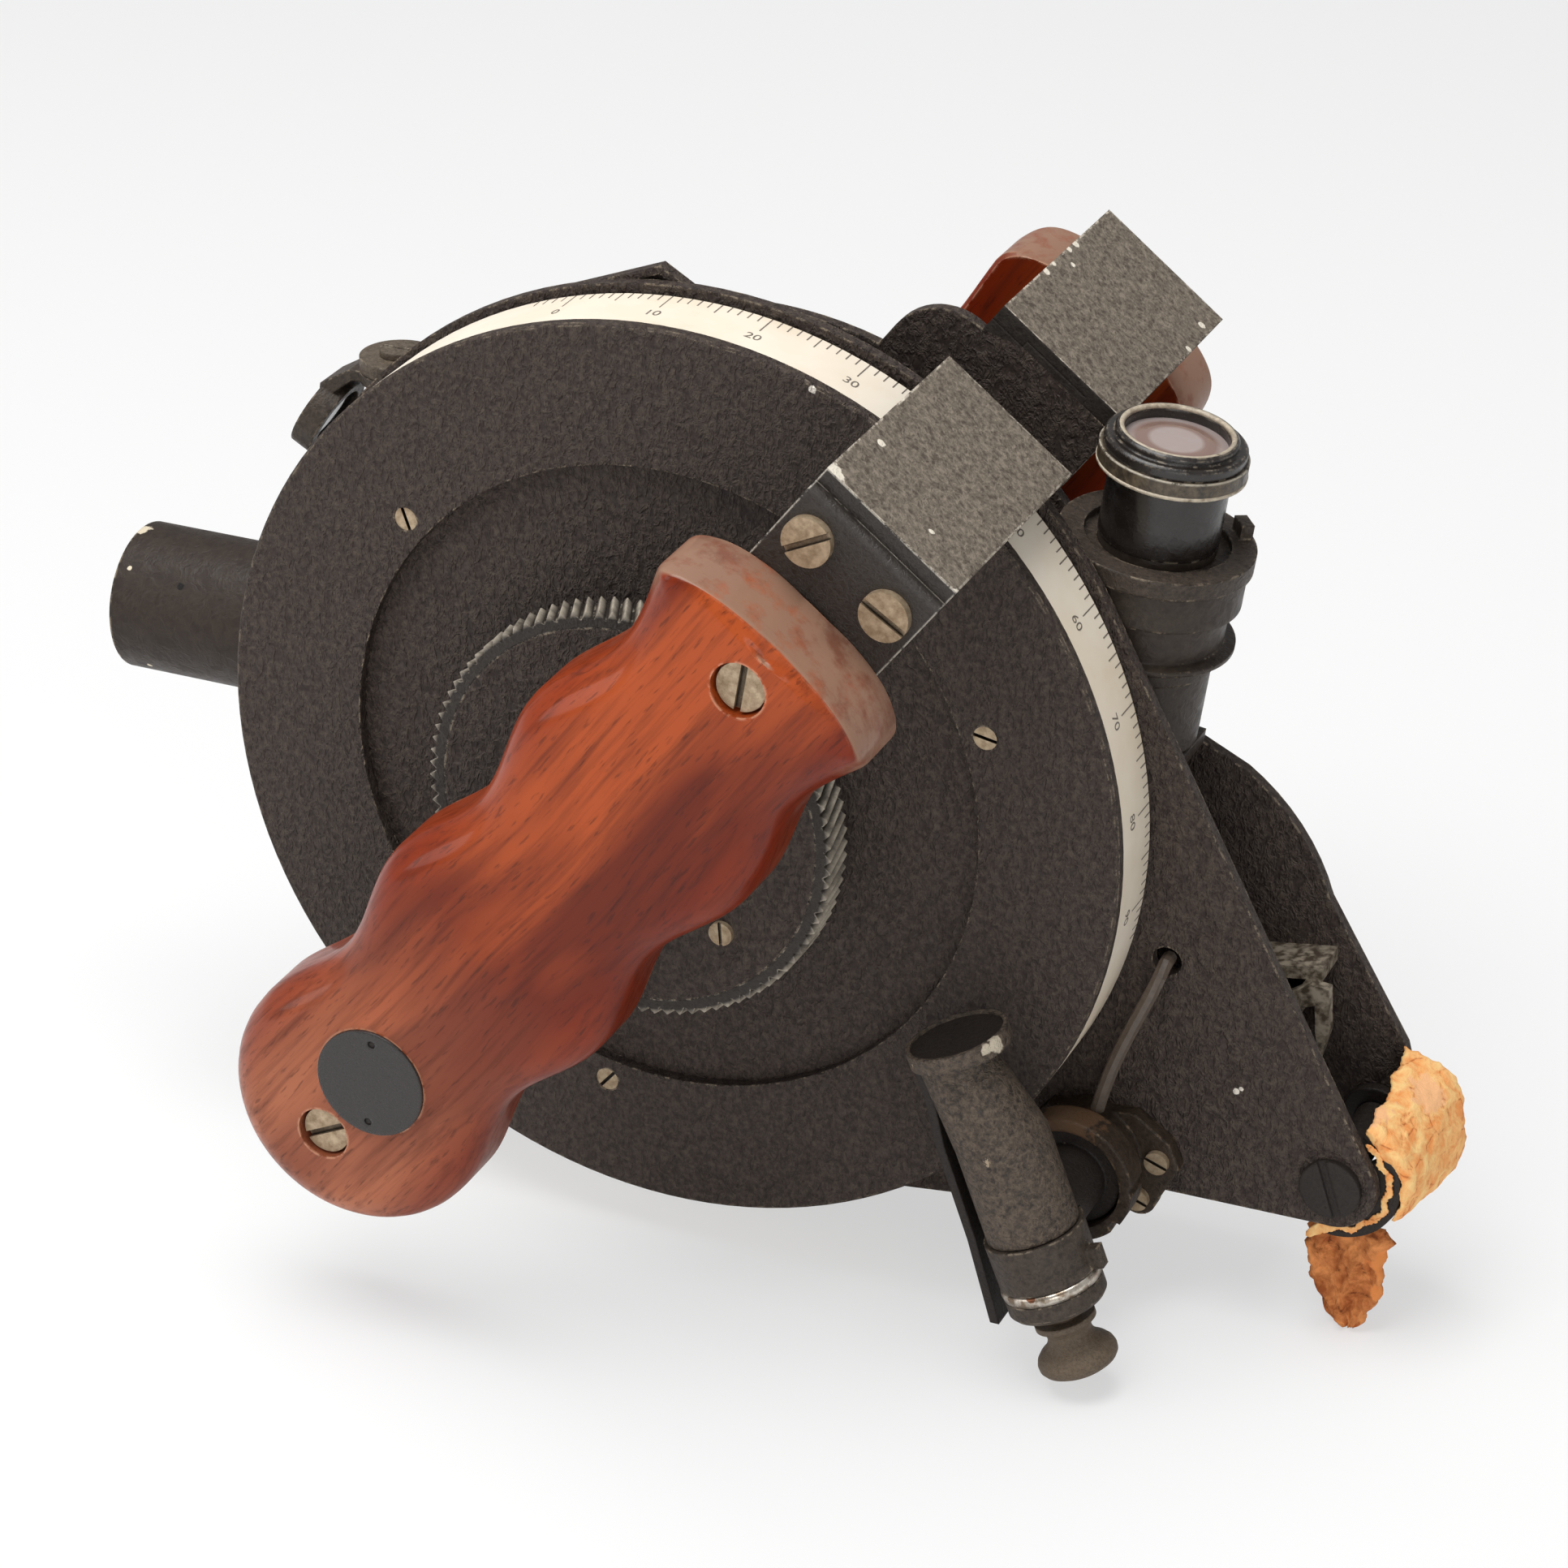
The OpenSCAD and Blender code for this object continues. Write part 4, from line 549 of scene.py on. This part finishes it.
chamber = black_paint("chamber_black", (44, 37, 32), (64, 55, 47), grain=600, depth=0.00003, rough=0.42,
                      bare=(140, 126, 106), rub=0.54)
coat(chamber, "bubble_body", "reflector_holder", "bubble_saddle")
ring_black = black_paint("ring_black", (46, 39, 34), (76, 66, 57), grain=1000, depth=0.00004, rough=0.45,
                         bare=(150, 136, 116), rub=0.5)
coat(ring_black, "bubble_ring")
barrel_black = black_paint("barrel_black", (26, 22, 20), (38, 33, 30), grain=600, depth=0.00001, rough=0.24,
                           bare=(150, 138, 120), rub=0.5, gloss=0.6)
coat(barrel_black, "bubble_barrel", "lens_cell")
rim_metal = black_paint("worn_rim_metal", (40, 34, 28), (96, 84, 66), grain=500, depth=0.00002, rough=0.36,
                        bare=(214, 204, 184), rub=0.4, gloss=0.5)
coat(rim_metal, "brass_ring")


def turned_piece(name, profile, foot, lean, finish, n=96):
    """A ring turned from a closed profile of (radius, height) points in mm: each point runs round n places,
    then the axis leans by an angle about Y and moves to its foot."""
    r, h = np.array(profile).T / 1000
    a = np.linspace(0, 2 * np.pi, n + 1)[:-1][:, None]
    x, y, z = r * np.cos(a), r * np.sin(a), h + 0 * a
    c, s = np.cos(np.radians(lean)), np.sin(np.radians(lean))
    points = np.stack([x * c + z * s, y, z * c - x * s], -1) + np.array(foot) / 1000
    return surface(name, points, grid_faces(n, len(profile), closed_rows=True), finish)


# The cell's rim and the lower lip of the ring below it are worn through to the metal.
bright_rim = black_paint("bright_rim", (120, 108, 92), (196, 182, 160), grain=700, depth=0.00001, rough=0.34,
                         bare=(224, 212, 190), rub=0.4, gloss=0.5)
rim_profile = [(6.45, 47.2), (6.5, 47.55), (6.75, 47.66), (7.05, 47.64), (7.1, 47.5), (6.7, 47.1)]
lip_profile = [(8.9, 42.75), (9.16, 42.85), (9.2, 43.15), (9.08, 43.3), (8.9, 43.2)]
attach(turned_piece("eye_rim", rim_profile, BUBBLE_FOOT, BUBBLE_LEAN, bright_rim), "housing")
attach(turned_piece("brass_lip", lip_profile, BUBBLE_FOOT, BUBBLE_LEAN, bright_rim), "housing")

# The eye lens is milky, with a darker ring in it near its rim.
milky = clear_glass("milky_glass", (204, 186, 180), 0.1, 0.5, 0.45)
t = milky.node_tree
at = shade(t, "TexCoord").outputs["Object"]
from_middle = shade(t, "VectorMath", {0: at, 1: EYE_MIDDLE}, operation="DISTANCE").outputs["Value"]
ringed = times(t, ramp(t, from_middle, 0.0030, 0.0036), ramp(t, from_middle, 0.0056, 0.0048))
laid_over(milky, ringed, (168, 138, 126))
coat(milky, "bubble_lens")
coat(lens_glass, "bubble_vial", "bubble_reflector")


# Shade: a dark glass in a small frame that swings over the sight tube on an upright screw.
# Its post and screw are worn grey, and the frame is black like the rings.

coat(clear_glass("dark_shade_glass", (24, 26, 23), 0.06, 0.08, 0.3), "shade_glass")
lug_grey = black_paint("lug_grey", (62, 54, 46), (104, 92, 78), grain=1400, depth=0.00003, rough=0.5,
                       bare=(150, 138, 120), rub=0.54)
coat(lug_grey, "shade_post", "shade_screw")
coat(ring_black, "shade_frame")


# Lamp: a small swivelling lamp on a round cup, lit through its window, with a clip on its back and a push
# knob below. Black crackle on the body, black lacquer on the turned ends, brown worn brass on the cup.

LAMP_FOOT, LAMP_LEAN = (54.215, -10, -44.375), -20.5

lamp_crackle = black_paint("lamp_crackle", (46, 40, 36), (104, 91, 78), grain=1000, depth=0.0001, rough=0.46,
                           bare=(170, 152, 128), rub=0.6, chips=0.66, width=0.0006)
# Painted highlight: two pale patches on the lamp body's lower right rim.
spotted(lamp_crackle, (196, 184, 164), (49.7, -12.4, -18.4, 1.2), (49, -13.6, -18.6, 0.8))
coat(lamp_crackle, "lamp_body")
coat(satin, "lamp_hub", "lamp_clip", "lamp_window")
coat(ring_black, "lamp_tail")
knob_brown = black_paint("knob_brown", (78, 66, 54), (112, 98, 82), grain=2200, depth=0.00003, rough=0.5,
                         bare=(150, 134, 112), rub=0.6)
coat(knob_brown, "push_knob")
cup_metal = black_paint("cup_brown", (40, 32, 26), (64, 53, 43), grain=900, depth=0.00003, rough=0.42,
                        bare=(132, 112, 88), rub=0.52, width=0.0006)
spotted(cup_metal, (92, 70, 52), (53.5, 3.5, -36.2, 4.6))
coat(cup_metal, "lamp_base")
chrome = mottled("worn_chrome", (128, 112, 94), (206, 198, 186), (700, 4), (0.42, 0.6), (0.2, 0.38),
                 Metallic=0.75)
spotted(chrome, (112, 70, 46), (56.6, -16.3, -50.4, 0.7))
ring_profile = [(5.48, -7.85), (6.3, -7.85), (6.42, -7.2), (6.3, -6.55), (5.48, -6.55)]
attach(turned_piece("chrome_ring", ring_profile, LAMP_FOOT, LAMP_LEAN, chrome), "lamp")
coat(clear_glass("bulb_glass", (240, 236, 224)), "lamp_bulb")
coat(mottled("wire_black", (60, 50, 43), (102, 89, 77), (1400, 4), rough=(0.4, 0.6)), "lamp_lead")


# Forehead pad: a curved plate on the corner pin that was covered with padded tan leather, glued on.
# The leather has cracked, frayed and torn: left are a flap outside, a strip along the front edge and a
# scrap below.

PIN_X, PIN_Z = 85.1, -43.1
FORWARD = np.array([0, -1.0, 0])

coat(satin, "pad_plate")


def worn_hide(name, deep, mid, pale, crease=420):
    """Old leather: tan grain in three tones, dark in its cracks and pale where its skin has rubbed off."""
    m, t, surf, at = new_finish(name, Specular_IOR_Level=0.15)
    creases = noise(t, at, crease, 6, 0.7, 0.4)
    cells = shade(t, "TexVoronoi", {"Vector": at, "Scale": 0.8 * crease}, feature="DISTANCE_TO_EDGE")
    tan = mixed(t, ramp(t, creases, 0.38, 0.62), colour(*mid), colour(*pale))
    crack = times(t, ramp(t, cells.outputs["Distance"], 0.05, 0.0), ramp(t, creases, 0.5, 0.4, 0.0, 0.8))
    t.links.new(mixed(t, crack, tan, colour(*deep)), surf.inputs["Base Color"])
    t.links.new(ramp(t, creases, 0.3, 0.7, 0.7, 0.9), surf.inputs["Roughness"])
    bump = shade(t, "Bump", {"Strength": 1.0, "Distance": 0.0005, "Height": creases})
    t.links.new(bump.outputs[0], surf.inputs["Normal"])
    return m


flap_hide = worn_hide("flap_hide", (176, 90, 44), (244, 160, 92), (255, 212, 144))
spotted(flap_hide, (248, 190, 138), (88.5, 16, -32.4, 3.0), (92.4, 24, -35.4, 2.8))
scrap_hide = worn_hide("scrap_hide", (74, 32, 14), (158, 84, 42), (226, 148, 88), 300)
spotted(scrap_hide, (224, 140, 78), (91.6, 15, -55, 2.2), (91.2, 15, -59.5, 1.4))


def ripple(u, v, start):
    """Sum of five crossed sine waves in u and v, each 1.9 times as fine as the one before it and 0.62 times
    as high."""
    k = np.arange(5)[:, None, None]
    u, v = np.broadcast_arrays(u, v)
    fine = 1.9 ** k
    return (0.62 ** k * np.sin(fine * u + start + 2.1 * k) * np.cos(fine * 0.8 * v + 1.3 * start - k)).sum(0)


def round_pin(r, a, y):
    """Points round the pad's pin, from a radius and a depth in mm and an angle up from +X in degrees."""
    a = np.radians(a)
    return np.stack(np.broadcast_arrays(PIN_X + r * np.cos(a), y, PIN_Z + r * np.sin(a)), -1) / 1000


def edged(u, power):
    """1 along most of a run u from 0 to 1, falling to 0 at both of its ends, later for a higher power."""
    return np.clip(1 - (2 * u - 1) ** power, 0, 1)


def closed_sheet(name, middle, out, half, finish):
    """A sheet with a wall: its middle surface, moved both ways along out by half, where half is 0 along all
    its edges. Each row runs out over one side and back over the other, so the grid closes on itself."""
    half = half[..., None]
    points = np.concatenate([middle + half * out, (middle - half * out)[:, -2:0:-1]], 1)
    return surface(name, points, grid_faces(*points.shape[:2]), finish)


# The flap: rows run up round the pin and columns to the rear. Its front edge is folded in over the plate's.
rise = np.linspace(0, 1, 70)[:, None]
back = np.linspace(0, 1, 64)[None, :]
fold = np.clip(back / 0.12, 0, 1)
angle = -29 + 7 * np.clip(back - 0.55, 0, 1) + (95 + 5 * back) * rise
angle = angle + 2.4 * ripple(9 * back, 0 * rise, 1.0) * (2 * rise - 1)
folded_in = np.exp(-((angle - 44) / 20) ** 2)
depth = 13.34 + (16.1 + 0.45 * ripple(14 * rise, 0 * back, 2.0)) * np.clip(back - 0.08, 0, 1) / 0.92
radius = 8.85 + 2.5 * (depth - 13.3) / 16.8 + 1.1 * np.exp(-((angle - 42) / 26) ** 2) * back ** 2
inner = 8.3 - 1.3 * folded_in + 0.22 * ripple(16 * rise, 0 * back, 3.0)
radius = inner + (radius - inner) * fold ** 0.7 + 0.16 * ripple(11 * rise, 7 * back, 4.0) * fold
out = np.stack(np.broadcast_arrays(np.cos(np.radians(angle)), 0 * angle, np.sin(np.radians(angle))), -1)
lean_out = (fold ** 2)[..., None]
out = out * lean_out + FORWARD * (1 - lean_out)
out = out / np.linalg.norm(out, axis=-1, keepdims=True)
wall = np.sqrt(edged(rise, 10) * edged(back, 14))
wall = wall * (0.00022 + 0.0004 * fold ** 2) * (1 + 0.12 * ripple(9 * rise, 9 * back, 5.0))
flap = closed_sheet("leather_flap", round_pin(radius, angle, depth), out, wall, flap_hide)
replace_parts(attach(flap, "pad"), "pad_leather")

# The strip: all that is left of the cover's front edge, a frayed ribbon that follows the plate down and ends
# in a lump.
rise = np.linspace(0, 1, 120)[:, None]
across = np.linspace(-1, 1, 13)[None, :]
angle = 60 - 172 * rise
middle = 6.8 + 0.26 * ripple(26 * rise, 0 * across, 0.4) + 2.0 * np.clip((rise - 0.86) / 0.14, 0, 1) ** 1.5
broad = 0.44 + 0.12 * ripple(60 * rise, 0 * across, 1.7) + 0.9 * np.clip((rise - 0.84) / 0.1, 0, 1)
broad = broad * np.sqrt(edged(rise, 20))
lift = 0.1 * np.exp(-((angle + 5) / 22) ** 2)
wall = np.sqrt(np.clip(1 - across ** 6, 0, 1) * edged(rise, 40)) * (0.00012 + lift / 1000)
strip = closed_sheet("leather_strip", round_pin(middle + broad * across, angle, 13.16 - lift), FORWARD, wall,
                     flap_hide)
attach(strip, "pad")

# The scrap: rows run down from the plate and columns across. Its outline is read off at nine heights below
# the pin, in mm.
drop = np.linspace(0, 1, 60)[:, None]
across = np.linspace(-1, 1, 40)[None, :]
height = -7.2 - 15.4 * drop
levels = [-22.6, -21.4, -19, -17.4, -15, -12.8, -11, -9, -7.4]
left = np.interp(height, levels, [1.5, -0.5, -2.2, -3, -3.4, -3.7, -4, -3.9, -3.3])
right = np.interp(height, levels, [2.7, 3.9, 5.2, 5.9, 6.5, 5.8, 6.5, 7.2, 6])
left = left - 0.25 * ripple(22 * drop, 0 * across, 0.9)
right = right + 0.25 * ripple(22 * drop, 0 * across, 2.9)
x = (left + right) / 2 + (right - left) / 2 * across
under = -np.sqrt(np.clip(8.45 ** 2 - x ** 2, 0, None))
z = np.minimum(height, np.where(np.abs(x) < 8.4, under, height)) - 0.02 * drop
y = 15.8 + 0.45 * ripple(5 * across, 8 * drop, 6.0) * np.clip(3 * drop, 0, 1)
wall = np.sqrt(np.clip(1 - across ** 6, 0, 1) * edged(drop, 12)) * 0.001
wall = wall * (1 + 0.3 * ripple(7 * across, 9 * drop, 7.0))
scrap = closed_sheet("leather_scrap", np.stack([PIN_X + x, y, z + PIN_Z], -1) / 1000, FORWARD, wall,
                     scrap_hide)
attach(scrap, "pad")


# The table: a plain pale floor under the lowest point, soft lamps, and the camera at the photograph's place.
# The floor and the air look brighter to the camera than the light they give, as on a studio's white sweep.

FLOOR_HALF, FLOOR_GAP, FLOOR_GLOW = 6, 0.0002, 0.55
AIR_LIGHT, AIR_SEEN = 0.36, 1.0

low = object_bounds()[0].z - FLOOR_GAP
floor_mesh = bpy.data.meshes.new("floor")
floor_mesh.from_pydata([(FLOOR_HALF * i, FLOOR_HALF * j, low) for i, j in ((-1, -1), (1, -1), (1, 1), (-1, 1))],
                       [], [(0, 1, 2, 3)])
floor = placed("floor", floor_mesh)
pale, t, surf, at = new_finish("pale_floor", Roughness=0.9)
surf.inputs["Base Color"].default_value = (0.86, 0.86, 0.86, 1)
glow = shade(t, "Emission", {"Color": (1, 1, 1, 1), "Strength": 1.0})
seen = times(t, shade(t, "LightPath").outputs["Is Camera Ray"], FLOOR_GLOW)
blend = shade(t, "MixShader", {0: seen, 1: surf.outputs[0], 2: glow.outputs[0]})
t.links.new(blend.outputs[0], t.nodes["Material Output"].inputs[0])
floor_mesh.materials.append(pale)

scene = bpy.context.scene
world = bpy.data.worlds.new("studio_air")
scene.world = world
world.use_nodes = True
t = world.node_tree
air = t.nodes["Background"]
air.inputs["Color"].default_value = (1, 1, 1, 1)
path = shade(t, "LightPath")
seen = shade(t, "Math", {0: path.outputs["Is Camera Ray"], 1: path.outputs["Is Transmission Ray"]},
             operation="MAXIMUM").outputs[0]
t.links.new(ramp(t, seen, 0, 1, AIR_LIGHT, AIR_SEEN), air.inputs["Strength"])


def soft_lamp(name, place, size, power):
    """A square area lamp at place that faces the middle of the drum."""
    data = bpy.data.lights.new(name, "AREA")
    data.size, data.energy = size, power
    lamp = placed(name, data)
    lamp.location = place
    lamp.rotation_euler = (-Vector(place)).to_track_quat("-Z", "Y").to_euler()


soft_lamp("top_lamp", (-0.10, -0.12, 0.75), 0.6, 6.2)
soft_lamp("left_lamp", (-0.75, -0.50, 0.30), 0.5, 1.8)
soft_lamp("front_lamp", (0.50, -0.90, 0.15), 0.6, 2.8)

view = bpy.data.cameras.new("camera")
view.lens, view.sensor_width = 106.77, 36
camera = placed("camera", view)
camera.matrix_world = Matrix(((0.91282, -0.18883, 0.36207, 0.22114), (0.40836, 0.42212, -0.80936, -0.45727),
                              (0, 0.88666, 0.46243, 0.26477), (0, 0, 0, 1)))
scene.camera = camera
scene.view_settings.view_transform = "Standard"
